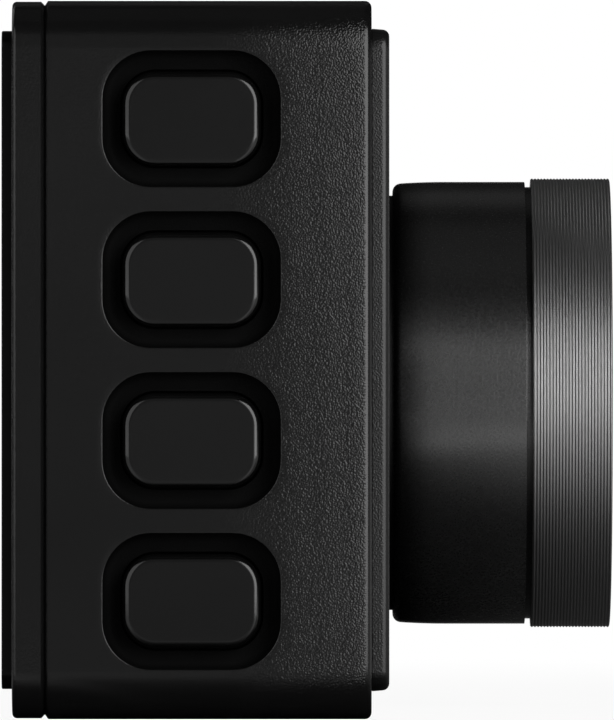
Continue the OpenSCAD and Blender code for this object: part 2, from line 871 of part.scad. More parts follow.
module processor() {
    color(black) along_y(board_front_y, board_front_y + chip_t) translate([chip_x, chip_z]) {
        square(chip_w, center = true);
    }
}

module thermal_pad() {
    y = board_front_y + chip_t;
    color("gray") along_y(y, y + pad_t) translate([chip_x, chip_z]) square(chip_w, center = true);
}

module shield_can() {
    top_y = board_front_y + chip_t + pad_t + can_t;
    color(steel) difference() {
        along_y(board_front_y, top_y) translate([chip_x, chip_z]) square(can_w, center = true);
        along_y(board_front_y - through, top_y - can_t) translate([chip_x, chip_z]) {
            square(can_w - 2 * can_t, center = true);
        }
    }
}

module memory_chips() {
    color(black) for (x = memory_x) {
        along_y(board_front_y, board_front_y + chip_t) translate([x, memory_z]) {
            square([memory_w, memory_h], center = true);
        }
    }
}

module usb_socket() {
    y = board_front_y + usb_t / 2;
    x = left_x + usb_proud;
    color(steel) translate([0, y, usb_z]) difference() {
        along_x(x, x + usb_l) slab(usb_t, usb_w, usb_t / 2 - gap);
        along_x(x - through, x + usb_depth) {
            slab(usb_t - 2 * usb_wall, usb_w - 2 * usb_wall, usb_t / 2 - gap - usb_wall);
        }
    }
}

module usb_tongue() {
    x = left_x + usb_proud + usb_depth;
    color(black) translate([0, board_front_y + usb_t / 2, usb_z]) along_x(x - usb_tongue_l, x) {
        square([usb_tongue_t, usb_tongue_w], center = true);
    }
}

module card_socket() {
    low = [board_left_x + card_stop, board_front_y, card_z - card_w / 2 - card_socket_rim];
    high = [card_x + card_l + card_back, board_front_y + card_socket_t,
            card_z + card_w / 2 + card_socket_rim];
    color(steel) difference() {
        block(low, high);
        block([low[0] - through, card_y - card_play, card_z - card_w / 2 - card_play],
              [card_x + card_l + card_play, card_y + card_t + card_play, card_z + card_w / 2 + card_play]);
    }
}

module memory_card() {
    color(black) along_y(card_y, card_y + card_t) translate([card_x + card_l / 2, card_z]) {
        square([card_l, card_w], center = true);
    }
}

module battery() {
    color("silver") along_y(socket_boss_y - battery_t, socket_boss_y) translate([socket_x, socket_z]) {
        slab(battery_w, battery_h, 1);
    }
}

module speaker() {
    color(black) translate([lens_x, speaker_y, floor_z + gasket_t]) linear_extrude(speaker_t) {
        slab(speaker_w, speaker_d, speaker_r);
    }
}

module speaker_gasket() {
    color(rubber_grey) translate([lens_x, speaker_y, floor_z]) linear_extrude(gasket_t) difference() {
        slab(speaker_w, speaker_d, speaker_r);
        square([speaker_w - 2 * gasket_rim, speaker_d - 2 * gasket_rim], center = true);
    }
}

module microphone() {
    y = inner_y - mic_gasket_t;
    color("gold") along_y(y - mic_t, y) translate([socket_x, mic_z]) square([mic_w, mic_h], center = true);
}

module microphone_gasket() {
    color(rubber_grey) difference() {
        along_y(inner_y - mic_gasket_t, inner_y) translate([socket_x, mic_z]) {
            square([mic_w, mic_h], center = true);
        }
        rod_y(socket_x, mic_z, mic_hole_d + 2 * gap, inner_y - mic_gasket_t - through, inner_y + through);
    }
}

module antenna() {
    color("beige") block([lens_x - antenna_w / 2, antenna_y - antenna_d / 2, ceiling_z - antenna_t],
                         [lens_x + antenna_w / 2, antenna_y + antenna_d / 2, ceiling_z]);
}

// Magnetic ball socket
module socket_cup() {
    mouth_d = ball_d + 2 * ball_play;
    color(steel) difference() {
        rod_y(socket_x, socket_z, cup_d, cup_y, cup_rim_y);
        rod_y(socket_x, socket_z, mouth_d, ball_y, cup_rim_y + through);
        translate([socket_x, ball_y, socket_z]) sphere(d = mouth_d);
    }
}

module mount_magnet() {
    color("silver") rod_y(socket_x, socket_z, magnet_d, magnet_y, cup_y);
}

// Keys and switches
module key(i) {
    color(black) translate([0, 0, key_z[i]]) {
        along_x(flange_x, key_face_x) slab(key_l, key_h, key_r);
        along_x(flange_x - flange_t, flange_x) {
            slab(key_l + 2 * flange_rim, key_h + 2 * flange_rim, key_r + flange_rim);
        }
        rod_x(0, 0, key_post_d, plunger_x, flange_x - flange_t);
    }
}

module switch_plunger(i) {
    lid_x = switch_top_x - switch_lid - fit;
    color("ivory") {
        rod_x(0, key_z[i], plunger_d, lid_x, plunger_x);
        rod_x(0, key_z[i], plunger_flange_d, lid_x - plunger_flange_t, lid_x);
    }
}

module switch_bodies() {
    cavity_x = switch_top_x - switch_lid - fit - plunger_flange_t - key_travel - gap;
    color(steel) for (z = key_z) translate([0, 0, z]) difference() {
        along_x(switch_x, switch_top_x) square(switch_w, center = true);
        rod_x(0, 0, plunger_d + 2 * gap, cavity_x, switch_top_x + through);
        rod_x(0, 0, plunger_flange_d + 2 * gap, cavity_x, switch_top_x - switch_lid);
    }
}

module switch_board() {
    color(board_green) block([switch_board_x, -switch_board_d / 2, floor_z + gap],
                             [switch_x, switch_board_d / 2, ceiling_z - gap]);
}

module switch_flex() {
    face_x = switch_board_x - ribbon_t / 2;
    plug_y = board_front_y + connector_t * 0.6;
    end_x = switch_connector_x + connector_w;
    route = [
        [face_x, switch_board_d / 2 - 1.2], [face_x, plug_y + 2.2], [face_x - 0.7, plug_y], [end_x, plug_y]
    ];
    color(ribbon_amber) translate([0, 0, mid_z - switch_ribbon_w / 2]) {
        linear_extrude(switch_ribbon_w) polygon(ribbon(route, ribbon_t));
    }
}

// Status light
module status_led() {
    color("white") block([pipe_x - led_w / 2, board_y - led_t, mid_z - led_w / 2],
                         [pipe_x + led_w / 2, board_y, mid_z + led_w / 2]);
}

module light_pipe() {
    color("white") rod_y(pipe_x, mid_z, pipe_d, tape_y, board_y - led_t - gap);
}

// Fasteners
module case_screws() {
    color(steel) at_case_screws() screw(0, 0, seat_y, case_screw_len);
}

module board_screws() {
    color(steel) at_posts() screw(0, 0, board_y, board_screw_len);
}

module holder_screws() {
    color(steel) at_holder_screws() screw(0, 0, inner_y - holder_flange_t, holder_screw_len);
}

module sensor_screws() {
    color(steel) at_sensor_screws() screw(0, 0, sensor_y - sensor_board_t, sensor_screw_len);
}

main_shell();
rear_frame();
front_plate();
display_glass();
glass_tape();
lcd_panel();
backlight();
display_tray();
display_flex();
lens_barrel();
lens_ring();
lens_bezel();
lens_cell();
front_element();
middle_element();
rear_element();
aperture_stop();
ir_filter();
lens_holder();
image_sensor();
sensor_board();
sensor_flex();
main_board();
board_connectors();
processor();
thermal_pad();
shield_can();
memory_chips();
usb_socket();
usb_tongue();
card_socket();
memory_card();
battery();
speaker();
speaker_gasket();
microphone();
microphone_gasket();
antenna();
socket_cup();
mount_magnet();
key(0);  // key_1
key(1);  // key_2
key(2);  // key_3
key(3);  // key_4
switch_plunger(0);  // switch_plunger_1
switch_plunger(1);  // switch_plunger_2
switch_plunger(2);  // switch_plunger_3
switch_plunger(3);  // switch_plunger_4
switch_board();
switch_bodies();
switch_flex();
status_led();
light_pipe();
case_screws();
board_screws();
holder_screws();
sensor_screws();
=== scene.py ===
import json
import math

import bmesh
import bpy
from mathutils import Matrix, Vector


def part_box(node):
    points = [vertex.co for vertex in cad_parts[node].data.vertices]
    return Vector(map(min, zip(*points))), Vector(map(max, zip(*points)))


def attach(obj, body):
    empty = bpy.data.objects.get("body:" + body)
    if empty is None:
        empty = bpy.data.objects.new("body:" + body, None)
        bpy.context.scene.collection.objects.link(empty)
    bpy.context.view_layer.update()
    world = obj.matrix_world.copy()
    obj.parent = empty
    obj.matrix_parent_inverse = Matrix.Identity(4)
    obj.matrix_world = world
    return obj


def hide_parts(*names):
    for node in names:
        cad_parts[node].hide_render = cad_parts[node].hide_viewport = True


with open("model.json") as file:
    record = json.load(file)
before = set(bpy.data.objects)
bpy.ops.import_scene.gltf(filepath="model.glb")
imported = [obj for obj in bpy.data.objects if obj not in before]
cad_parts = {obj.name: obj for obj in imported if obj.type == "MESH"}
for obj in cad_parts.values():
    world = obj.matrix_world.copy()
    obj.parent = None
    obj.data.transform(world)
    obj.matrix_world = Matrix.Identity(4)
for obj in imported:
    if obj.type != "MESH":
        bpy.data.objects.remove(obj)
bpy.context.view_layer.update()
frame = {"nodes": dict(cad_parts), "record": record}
nodes = frame["nodes"]
scene = bpy.context.scene
mm = 0.001                                    # meshes are drawn in mm and scaled once
same = 1e-6                                   # mm, closer than this is the same place
weldAt, thinAt = 1e-4, 1e-5                   # mm, points to weld and edges to drop
leastR = 0.002                                # mm, smallest corner radius
past = 1.0                                    # mm, how far a cutter runs past what it cuts
sharpAt = 38                                  # degrees, edges that stay sharp
print("frame loaded:", len(nodes), "nodes")


def nodeBox(name):                            # low and high corner of a CAD node, in mm
    return [[v / mm for v in corner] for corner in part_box(name)]


def middle(low, high, *axes):                 # centre of a box along some axes
    return tuple((low[k] + high[k]) / 2 for k in axes)


def halfSize(low, high, *axes):
    return tuple((high[k] - low[k]) / 2 for k in axes)


# sockets of a shader tree, so that shader maths reads as maths
class Socket:
    def __init__(self, tree, out=None):
        self.tree = tree
        self.out = out

    def node(self, kind, settings=None, sockets=None, out=0):
        made = self.tree.nodes.new(kind)
        for name, value in (settings or {}).items():
            setattr(made, name, value)
        for name, value in (sockets or {}).items():
            if isinstance(value, Socket):
                self.tree.links.new(value.out, made.inputs[name])
            else:
                made.inputs[name].default_value = value
        return Socket(self.tree, made.outputs[out])

    def maths(self, operation, first, second=0.0):
        return self.node("ShaderNodeMath", {"operation": operation}, {0: first, 1: second})

    def __add__(self, other):
        return self.maths("ADD", self, other)

    def __radd__(self, other):
        return self.maths("ADD", other, self)

    def __sub__(self, other):
        return self.maths("SUBTRACT", self, other)

    def __rsub__(self, other):
        return self.maths("SUBTRACT", other, self)

    def __mul__(self, other):
        return self.maths("MULTIPLY", self, other)

    def __rmul__(self, other):
        return self.maths("MULTIPLY", other, self)

    def __pow__(self, other):
        return self.maths("POWER", self, other)

    def __rpow__(self, other):
        return self.maths("POWER", other, self)


def grey(level):
    return (level, level, level, 1.0)


def newFinish(name):
    mat = bpy.data.materials.new(name)
    mat.use_nodes = True
    mat.node_tree.nodes.clear()
    return mat, Socket(mat.node_tree)


def placeMm(shade):                           # where a point lies on the object, in mm
    at = shade.node("ShaderNodeTexCoord", out="Object")
    return shade.node("ShaderNodeVectorMath", {"operation": "SCALE"}, {0: at, "Scale": 1 / mm})


def cloud(at, scale, detail, spread=0.0):
    return at.node("ShaderNodeTexNoise", {},
                   {"Vector": at, "Scale": scale, "Detail": detail, "Distortion": spread})


def ease(value, low, high):                   # 0 below low, 1 above high
    return value.node("ShaderNodeMapRange", {"interpolation_type": "SMOOTHSTEP"},
                      {"Value": value, "From Min": low, "From Max": high})


def tint(mask, first, second):                # colour that goes from first to second
    return mask.node("ShaderNodeMix", {"data_type": "RGBA"}, {0: mask, 6: first, 7: second}, 2)


def bump(height, depth):                      # depth in mm
    return height.node("ShaderNodeBump", {}, {"Height": height, "Distance": depth * mm})


def parts(at):
    return [at.node("ShaderNodeSeparateXYZ", {}, {0: at}, k) for k in range(3)]


def output(shade, surface, kind="ShaderNodeOutputMaterial"):
    end = shade.tree.nodes.new(kind)
    shade.tree.links.new(surface.out, end.inputs["Surface"])


def cover(shade, values):                     # principled surface into the material's output
    output(shade, shade.node("ShaderNodeBsdfPrincipled", {}, values))


def mouldedFinish(name, look):                # grained or smooth plastic, rubber, foam, paint
    mat, shade = newFinish(name)
    at = placeMm(shade)
    drift = cloud(at, look["driftScale"], detail=3.0)
    pebble = cloud(at, look["grainScale"], detail=0.0)
    fine = cloud(at, look["fineScale"], detail=2.0)
    height = pebble * look["pebble"] + fine * look["fine"]
    if look.get("fade"):                      # grain of the key side dies out towards the back
        fade = look["fade"]
        x, y, z = parts(at)
        height = height * (1 - (1 - fade["least"]) * ease(x, *fade["x"]) * (1 - ease(y, *fade["y"])))
    if look.get("smooth"):                    # no grain on the rounding at the front
        height = height * (1 - ease(parts(at)[1], *look["smooth"]))
    cover(shade, {
        "Base Color": tint(drift, *look["hue"]),
        "Roughness": look["rough"] + (drift - 0.5) * look["roughDrift"] + (fine - 0.5) * look["roughFine"],
        "Specular IOR Level": look["gloss"],
        "Normal": bump(height, look["depth"]),
    })
    return mat


def turnedFinish(name, look, axis):           # metal or paint turned on a lathe about a line along Y
    mat, shade = newFinish(name)
    at = placeMm(shade)
    x, y, z = parts(at)
    away = ((x - axis[0]) * (x - axis[0]) + (z - axis[1]) * (z - axis[1])) ** 0.5
    marks = shade.node("ShaderNodeTexNoise", {"noise_dimensions": "1D"},
                       {"W": away * look["markScale"] + y * look["markScale"], "Detail": 3.0})
    drift = cloud(at, look["driftScale"], detail=3.0)
    fine = cloud(at, look["fineScale"], detail=2.0)
    colour = tint(drift * 0.5 + marks * 0.5, *look["hue"])
    if "foot" in look:                        # painted shade: the colour darkens towards the foot, beside the plate
        start, end, dark = look["foot"]
        colour = tint(ease(y, start, end), dark, colour)
    cover(shade, {
        "Base Color": colour,
        "Metallic": look["metal"],
        "Roughness": look["rough"] + (marks - 0.5) * look["roughMarks"] + (fine - 0.5) * look["roughFine"],
        "Specular IOR Level": look["gloss"],
        "Normal": bump(marks * look["marks"] + fine * look["fine"], look["depth"]),
    })
    return mat


# meshes
def addLoop(bm, points):
    return [bm.verts.new(p) for p in points]


def quarter(steps):                           # angles of a quarter turn, both ends included
    return [math.radians(90 * k / steps) for k in range(steps + 1)]


def roundOff(edge, steps):                    # steps round an edge, as distances from its two faces
    return [(edge * (1 - math.sin(a)), edge * (1 - math.cos(a))) for a in quarter(steps)]


def fullTurn(steps):
    return [2 * math.pi * k / steps for k in range(steps)]


def bridge(bm, a, b, skip=0, finish=0):       # quads between two rings of points
    n = len(a)
    for i in range(skip, n):
        j = (i + 1) % n
        bm.faces.new((a[i], a[j], b[j], b[i])).material_index = finish


def loft(bm, loops, closed=False, finish=0):
    rings = [addLoop(bm, points) for points in loops]
    for a, b in zip(rings, rings[1:]):
        bridge(bm, a, b, finish=finish)
    if closed:
        bridge(bm, rings[-1], rings[0], finish=finish)
    else:
        for ring in (rings[0], rings[-1]):
            bm.faces.new(ring).material_index = finish


def roundRect(half, r, centre, arc=10, across=4, up=4):   # anticlockwise, from the right side
    r = max(min(r, *half), leastR)
    arcs = []
    for k, (su, sv) in enumerate(((1, 1), (-1, 1), (-1, -1), (1, -1))):
        u, v = centre[0] + su * (half[0] - r), centre[1] + sv * (half[1] - r)
        turns = [math.radians(90 * k + 90 * j / arc) for j in range(arc + 1)]
        arcs.append([(u + r * math.cos(a), v + r * math.sin(a)) for a in turns])
    points = []
    for k in range(4):
        count = across if k % 2 else up
        (u0, v0), (u1, v1) = arcs[k - 1][-1], arcs[k][0]
        points += [(u0 + (u1 - u0) * i / count, v0 + (v1 - v0) * i / count) for i in range(1, count)]
        points += arcs[k]
    return points


def softProfile(corners, steps=4):            # (u, v, edge) corners, each rounded by its edge radius
    points = []
    for i, (u, v, edge) in enumerate(corners):
        here = Vector((u, v))
        if not edge:
            points.append((u, v))
            continue
        back = (Vector(corners[i - 1][:2]) - here).normalized()
        on = (Vector(corners[(i + 1) % len(corners)][:2]) - here).normalized()
        half = back.angle(on) / 2
        pivot = here + (back + on).normalized() * (edge / math.sin(half))
        start = here + back * (edge / math.tan(half)) - pivot
        end = here + on * (edge / math.tan(half)) - pivot
        first = math.atan2(start.y, start.x)
        turn = (math.atan2(end.y, end.x) - first + math.pi) % (2 * math.pi) - math.pi
        for k in range(steps + 1):
            a = first + turn * k / steps
            points.append((pivot.x + edge * math.cos(a), pivot.y + edge * math.sin(a)))
    return points


def lathe(bm, profile, axis, steps):          # closed (radius, y) profile about a line along Y
    rings = []
    for r, y in profile:
        circle = [(axis[0] + r * math.cos(a), y, axis[1] + r * math.sin(a)) for a in fullTurn(steps)]
        rings.append(addLoop(bm, circle))
    for a, b in zip(rings, rings[1:] + rings[:1]):
        bridge(bm, a, b)


def refinish(bm, chosen):                     # second finish on the faces that chosen picks
    bm.normal_update()
    for face in bm.faces:
        if chosen(face.calc_center_median(), face.normal):
            face.material_index = 1
    return bm


def clean(bm):
    bmesh.ops.remove_doubles(bm, verts=bm.verts, dist=weldAt)
    bmesh.ops.dissolve_degenerate(bm, dist=thinAt, edges=bm.edges)
    bmesh.ops.recalc_face_normals(bm, faces=bm.faces)


def combine(body, tool, operation):           # boolean of two closed meshes
    pair = []
    for label, source in (("body", body), ("tool", tool)):
        clean(source)
        mesh = bpy.data.meshes.new(label)
        source.to_mesh(mesh)
        source.free()
        pair.append(bpy.data.objects.new(label, mesh))
        scene.collection.objects.link(pair[-1])
    cut = pair[0].modifiers.new("cut", "BOOLEAN")
    cut.operation, cut.solver, cut.object = operation, "EXACT", pair[1]
    result = bmesh.new()
    result.from_object(pair[0], bpy.context.evaluated_depsgraph_get())
    for obj in pair:
        mesh = obj.data
        bpy.data.objects.remove(obj)
        bpy.data.meshes.remove(mesh)
    return result


standIns = set()                              # CAD nodes that a piece stands for


def makePiece(name, bm, mats, body, stands):
    clean(bm)
    bmesh.ops.scale(bm, vec=(mm, mm, mm), verts=bm.verts)
    mesh = bpy.data.meshes.new(name)
    bm.to_mesh(mesh)
    bm.free()
    for mat in mats:
        mesh.materials.append(mat)
    mesh.shade_smooth()
    mesh.set_sharp_from_angle(angle=math.radians(sharpAt))
    obj = bpy.data.objects.new(name, mesh)
    scene.collection.objects.link(obj)
    obj.modifiers.new("faceNormals", "WEIGHTED_NORMAL").keep_sharp = True
    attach(obj, body)
    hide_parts(*stands)
    standIns.update(stands)


# where things lie
shellLow, shellHigh = nodeBox("main_shell")
frameLow, frameHigh = nodeBox("rear_frame")
plateLow, plateHigh = nodeBox("front_plate")
glassLow, glassHigh = nodeBox("display_glass")
ringLow, ringHigh = nodeBox("lens_ring")
cupLow, cupHigh = nodeBox("socket_cup")
usbLow, usbHigh = nodeBox("usb_socket")
cardLow, cardHigh = nodeBox("memory_card")
keyBoxes = [nodeBox(f"key_{i}") for i in (1, 2, 3, 4)]
partY, frontY = shellLow[1], shellHigh[1]
midX, midZ = middle(shellLow, shellHigh, 0, 2)
lensAxis = middle(ringLow, ringHigh, 0, 2)
cupAxis = middle(cupLow, cupHigh, 0, 2)
micAxis = middle(*nodeBox("microphone"), 0, 2)
usbMid = middle(usbLow, usbHigh, 1, 2)
cardMid = middle(cardLow, cardHigh, 1, 2)
keyMids = [middle(low, high, 2)[0] for low, high in keyBoxes]

# finishes of the pieces that show
casingLook = {"hue": (grey(0.0045), grey(0.0065)), "driftScale": 0.12, "grainScale": 10.0, "fineScale": 17.0,
              "pebble": 1.0, "fine": 0.3, "depth": 0.029, "rough": 0.18, "roughDrift": 0.04,
              "roughFine": 0.08, "gloss": 0.41, "smooth": (9.7, 9.85),
              "fade": {"x": (25.0, 27.0), "y": (0.0, 7.2), "least": 0.3}}
plateLook = {"hue": (grey(0.006), grey(0.009)), "driftScale": 0.1, "grainScale": 10.0, "fineScale": 17.0,
             "pebble": 1.0, "fine": 0.3, "depth": 0.018, "rough": 0.3, "roughDrift": 0.04, "roughFine": 0.08,
             "gloss": 0.41, "smooth": (10.7, 10.85)}
plateFrontLook = dict(plateLook, smooth=None, rough=0.4, gloss=0.35)
# painted shade: the pockets round the keys and the keys' flanges get a darker colour where shade falls
paintedPocketShadeLook = dict(casingLook, hue=(grey(0.0018), grey(0.0026)), rough=0.7, gloss=0.07)
keyLook = {"hue": (grey(0.0023), grey(0.0038)), "driftScale": 0.2, "grainScale": 6.0, "fineScale": 14.0,
           "pebble": 0.3, "fine": 0.5, "depth": 0.002, "rough": 0.13, "roughDrift": 0.04, "roughFine": 0.05,
           "gloss": 0.49}
# the foot entry paints shade: the barrel's colour darkens beside the plate
barrelLook = {"hue": (grey(0.115), grey(0.155)), "metal": 0.94, "markScale": 9.0, "driftScale": 0.35,
              "fineScale": 6.0, "marks": 0.12, "fine": 0.6, "depth": 0.01, "rough": 0.27, "roughMarks": 0.05,
              "roughFine": 0.12, "gloss": 0.45, "foot": (11.65, 13.8, grey(0.03))}
ringLook = {"hue": (grey(0.34), grey(0.42)), "metal": 1.0, "markScale": 14.0, "driftScale": 0.3,
            "fineScale": 8.0, "marks": 0.4, "fine": 0.3, "depth": 0.001, "rough": 0.42, "roughMarks": 0.08,
            "roughFine": 0.06, "gloss": 0.5}
trimLook = {"hue": (grey(0.004), grey(0.007)), "metal": 0.0, "markScale": 20.0, "driftScale": 0.5,
            "fineScale": 12.0, "marks": 0.5, "fine": 0.5, "depth": 0.006, "rough": 0.5, "roughMarks": 0.1,
            "roughFine": 0.08, "gloss": 0.35}
neckLook = dict(trimLook, metal=1.0, rough=0.27, hue=(grey(0.06), grey(0.078)))
steelTurnLook = {"hue": (grey(0.42), grey(0.52)), "metal": 1.0, "markScale": 16.0, "driftScale": 0.3,
                 "fineScale": 10.0, "marks": 0.5, "fine": 0.15, "depth": 0.003, "rough": 0.24,
                 "roughMarks": 0.12, "roughFine": 0.05, "gloss": 0.5}

casingPlastic = mouldedFinish("casingPlastic", casingLook)
platePlastic = mouldedFinish("platePlastic", plateLook)
keyPlastic = mouldedFinish("keyPlastic", keyLook)
paintedPocketShade = mouldedFinish("paintedPocketShade", paintedPocketShadeLook)
plateFront = mouldedFinish("plateFront", plateFrontLook)
barrelCoatAndFootShade = turnedFinish("barrelCoatAndFootShade", barrelLook, lensAxis)
neckBlack = turnedFinish("neckBlack", neckLook, lensAxis)
ringAnodised = turnedFinish("ringAnodised", ringLook, lensAxis)
trimBlack = turnedFinish("trimBlack", trimLook, lensAxis)
cupSteel = turnedFinish("cupSteel", steelTurnLook, cupAxis)
print("finishes of the casing and lens made")

# casing shell, with a pocket and a hole for each key
shell = {"cornerR": 2.7, "frontEdge": 0.38, "rearEdge": (0.24, 0.17), "edgeSteps": 5, "flatSteps": 10,
         "wall": 1.6, "keyWall": 2.8, "frontWall": 1.6, "crown": 0.36, "crownBend": 3, "crownFrom": -1.0,
         "pocketLong": 10.0, "pocketHigh": 7.65, "pocketR": 2.7, "pocketDeep": 1.5, "rimEdge": 0.07,
         "rimSteps": 4, "scoop": 0.5, "scoopSteps": 5, "holeEdge": 0.03, "holeSteps": 3, "keyLong": 7.8,
         "keyHigh": 5.3, "keyR": 1.85, "keyPlay": 0.12, "lensHole": 11.45, "cupHole": 6.3, "micHole": 0.5,
         "grilleHole": 0.5, "grilleEdge": 0.12, "grillePitch": 2.2, "grilleY": 0.9,
         "grilleColumns": (-2, -1, 0, 1, 2), "grilleRows": (-1, 0, 1), "slotEdge": 0.16, "usbPlay": 0.1,
         "usbFlat": 0.2, "cardPlay": 0.3, "cardR": 0.25}


def shellOutline(low, high, r, zs, arc=12, across=8, up=8):   # key side first, at the heights in zs
    (x0, z0), (x1, z1) = low, high

    def corner(k):
        u = (x1 - r, x0 + r, x0 + r, x1 - r)[k]
        v = (z1 - r, z1 - r, z0 + r, z0 + r)[k]
        turns = [math.radians(90 * k + 90 * j / arc) for j in range(1, arc)]
        return [(u + r * math.cos(a), v + r * math.sin(a)) for a in turns]

    top = [(x1 - r + (x0 - x1 + 2 * r) * i / across, z1) for i in range(across + 1)]
    left = [(x0, z1 - r + (z0 - z1 + 2 * r) * i / up) for i in range(up + 1)]
    bottom = [(x0 + r + (x1 - x0 - 2 * r) * i / across, z0) for i in range(across + 1)]
    return [(x1, z) for z in zs] + corner(0) + top + corner(1) + left + corner(2) + bottom + corner(3)


def cellBorder(points, low, high, arc, across, up):   # rectangle round a pocket, in step with its loop
    (u0, v0), (u1, v1) = low, high
    ends = ((u1, v1), (u0, v1), (u0, v0), (u1, v0))

    def onSide(k, point):
        return ((u1, point[1]), (point[0], v1), (u0, point[1]), (point[0], v0))[k % 4]

    border, i = [], 0
    for k in range(4):
        count = (across if k % 2 else up) - 1
        border += [onSide(k, p) for p in points[i:i + count]]
        turn = points[i + count:i + count + arc + 1]
        first, last = onSide(k, turn[0]), onSide(k + 1, turn[-1])
        for j in range(arc + 1):
            t = 2 * j / arc
            a, b = (first, ends[k]) if t <= 1 else (ends[k], last)
            s = t if t <= 1 else t - 1
            border.append((a[0] + (b[0] - a[0]) * s, a[1] + (b[1] - a[1]) * s))
        i += count + arc + 1
    return border


def rod(bm, axis, r, y0, y1, mouth=0.0, steps=64):    # cutter along Y, wider at its y1 end by mouth
    profile = [(0, y0), (r, y0), (r, y1 - mouth), (r + mouth, y1), (r + mouth, y1 + past), (0, y1 + past)]
    lathe(bm, profile, axis, steps)


def buildShell():
    p = shell
    counts = {"arc": 12, "across": 4, "up": 2}
    x1 = shellHigh[0]
    innerX, innerY = x1 - p["keyWall"], frontY - p["frontWall"]
    y0, y1 = partY + p["rearEdge"][1], frontY - p["frontEdge"]
    floorX = x1 - p["pocketDeep"]
    pocketHalf = (p["pocketLong"] / 2, p["pocketHigh"] / 2)
    holeHalf = (p["keyLong"] / 2 + p["keyPlay"], p["keyHigh"] / 2 + p["keyPlay"])
    holeR = p["keyR"] + p["keyPlay"]
    between = [(a + b) / 2 for a, b in zip(keyMids, keyMids[1:])]
    limits = [shellHigh[2] - p["cornerR"]] + between + [shellLow[2] + p["cornerR"]]
    bm = bmesh.new()
    zs, ys, innerYs = set(), set(), set()

    for k, z in enumerate(keyMids):
        def outline(x, grow, half, r):
            size = (half[0] + grow, half[1] + grow)
            return [(x, u, v) for u, v in roundRect(size, r + grow, (0, z), **counts)]

        loops = [outline(x1 - c, s, pocketHalf, p["pocketR"])
                 for s, c in roundOff(p["rimEdge"], p["rimSteps"])]
        loops += [outline(floorX + s, -c, pocketHalf, p["pocketR"])
                  for s, c in roundOff(p["scoop"], p["scoopSteps"])]
        loops += [outline(floorX - c, s, holeHalf, holeR)
                  for s, c in roundOff(p["holeEdge"], p["holeSteps"])]
        loops.append(outline(innerX, 0, holeHalf, holeR))
        rim = roundRect(pocketHalf, p["pocketR"], (0, z), **counts)
        outer = cellBorder(rim, (y0, limits[k + 1]), (y1, limits[k]), **counts)
        inner = cellBorder(rim, (partY, limits[k + 1]), (innerY, limits[k]), **counts)
        edge = [(u, v) for x, u, v in loops[0]]
        flatLoops = [[(x1, a + (c - a) * j / p["flatSteps"], b + (d - b) * j / p["flatSteps"])
                      for (a, b), (c, d) in zip(outer, edge)] for j in range(p["flatSteps"])]
        loops = flatLoops + loops + [[(innerX, u, v) for u, v in inner]]
        rings = [addLoop(bm, points) for points in loops]
        # faces inside the rim get the painted pocket shade
        dark = range(p["flatSteps"] + p["rimSteps"], len(rings) - 2)   # inside the rim
        for j, (a, b) in enumerate(zip(rings, rings[1:])):
            bridge(bm, a, b, finish=int(j in dark))
        zs |= {round(v, 5) for u, v in outer if abs(u - y1) < same}
        ys |= {round(u, 5) for u, v in outer if abs(v - limits[k]) < same}
        innerYs |= {round(u, 5) for u, v in inner if abs(v - limits[k]) < same}
    zs, ys, innerYs = sorted(zs), sorted(ys), sorted(innerYs)

    def outerLoop(y, inset):
        low = (shellLow[0] + inset, shellLow[2] + inset)
        high = (shellHigh[0] - inset, shellHigh[2] - inset)
        return addLoop(bm, [(x, y, z) for x, z in shellOutline(low, high, p["cornerR"] - inset, zs)])

    def innerLoop(y):
        low = (shellLow[0] + p["wall"], shellLow[2] + p["wall"])
        high = (innerX, shellHigh[2] - p["wall"])
        return addLoop(bm, [(x, y, z) for x, z in shellOutline(low, high, p["cornerR"] - p["wall"], zs)])

    turns = quarter(p["edgeSteps"])[1:]
    rear = [outerLoop(partY, p["rearEdge"][0]), outerLoop(y0, 0)]
    tube = [rear[-1]] + [outerLoop(y, 0) for y in ys[1:]]
    front = [outerLoop(y1 + p["frontEdge"] * math.sin(a), p["frontEdge"] * (1 - math.cos(a))) for a in turns]
    cavity = [innerLoop(y) for y in innerYs]
    for a, b in zip(rear, rear[1:]):
        bridge(bm, a, b)
    for a, b in zip(tube, tube[1:]):
        bridge(bm, a, b, len(zs) - 1)
    for a, b in zip([tube[-1]] + front, front):
        bridge(bm, a, b)
    for a, b in zip(cavity, cavity[1:]):
        bridge(bm, a, b, len(zs) - 1)
    bm.faces.new(front[-1])
    bm.faces.new(cavity[-1])
    bridge(bm, rear[0], cavity[0])
    crownSides(bm)

    usbHalf = [v + p["usbPlay"] for v in halfSize(usbLow, usbHigh, 1, 2)]
    cardHalf = [v + p["cardPlay"] for v in halfSize(cardLow, cardHigh, 1, 2)]
    cut = bmesh.new()
    rod(cut, lensAxis, p["lensHole"], innerY - past, frontY + past, steps=128)
    rod(cut, cupAxis, p["cupHole"], innerY - past, frontY + past, steps=96)
    rod(cut, micAxis, p["micHole"], innerY - past, frontY + past)
    for i in p["grilleColumns"]:
        for j in p["grilleRows"]:
            grilleHole(cut, lensAxis[0] + i * p["grillePitch"], p["grilleY"] + j * p["grillePitch"])
    sideSlot(cut, usbMid, usbHalf, usbHalf[0] - p["usbFlat"])
    sideSlot(cut, cardMid, cardHalf, p["cardR"])
    return combine(bm, cut, "DIFFERENCE")


def crownSides(bm):                           # both sides draw in a little towards the front
    p = shell
    edge = shellHigh[0] - p["cornerR"]
    for v in bm.verts:
        along = max(0.0, (v.co.y - p["crownFrom"]) / (frontY - p["crownFrom"]))
        outward = max(0.0, (abs(v.co.x - midX) - edge) / p["cornerR"])
        v.co.x -= math.copysign(p["crown"] * along ** p["crownBend"] * outward, v.co.x)


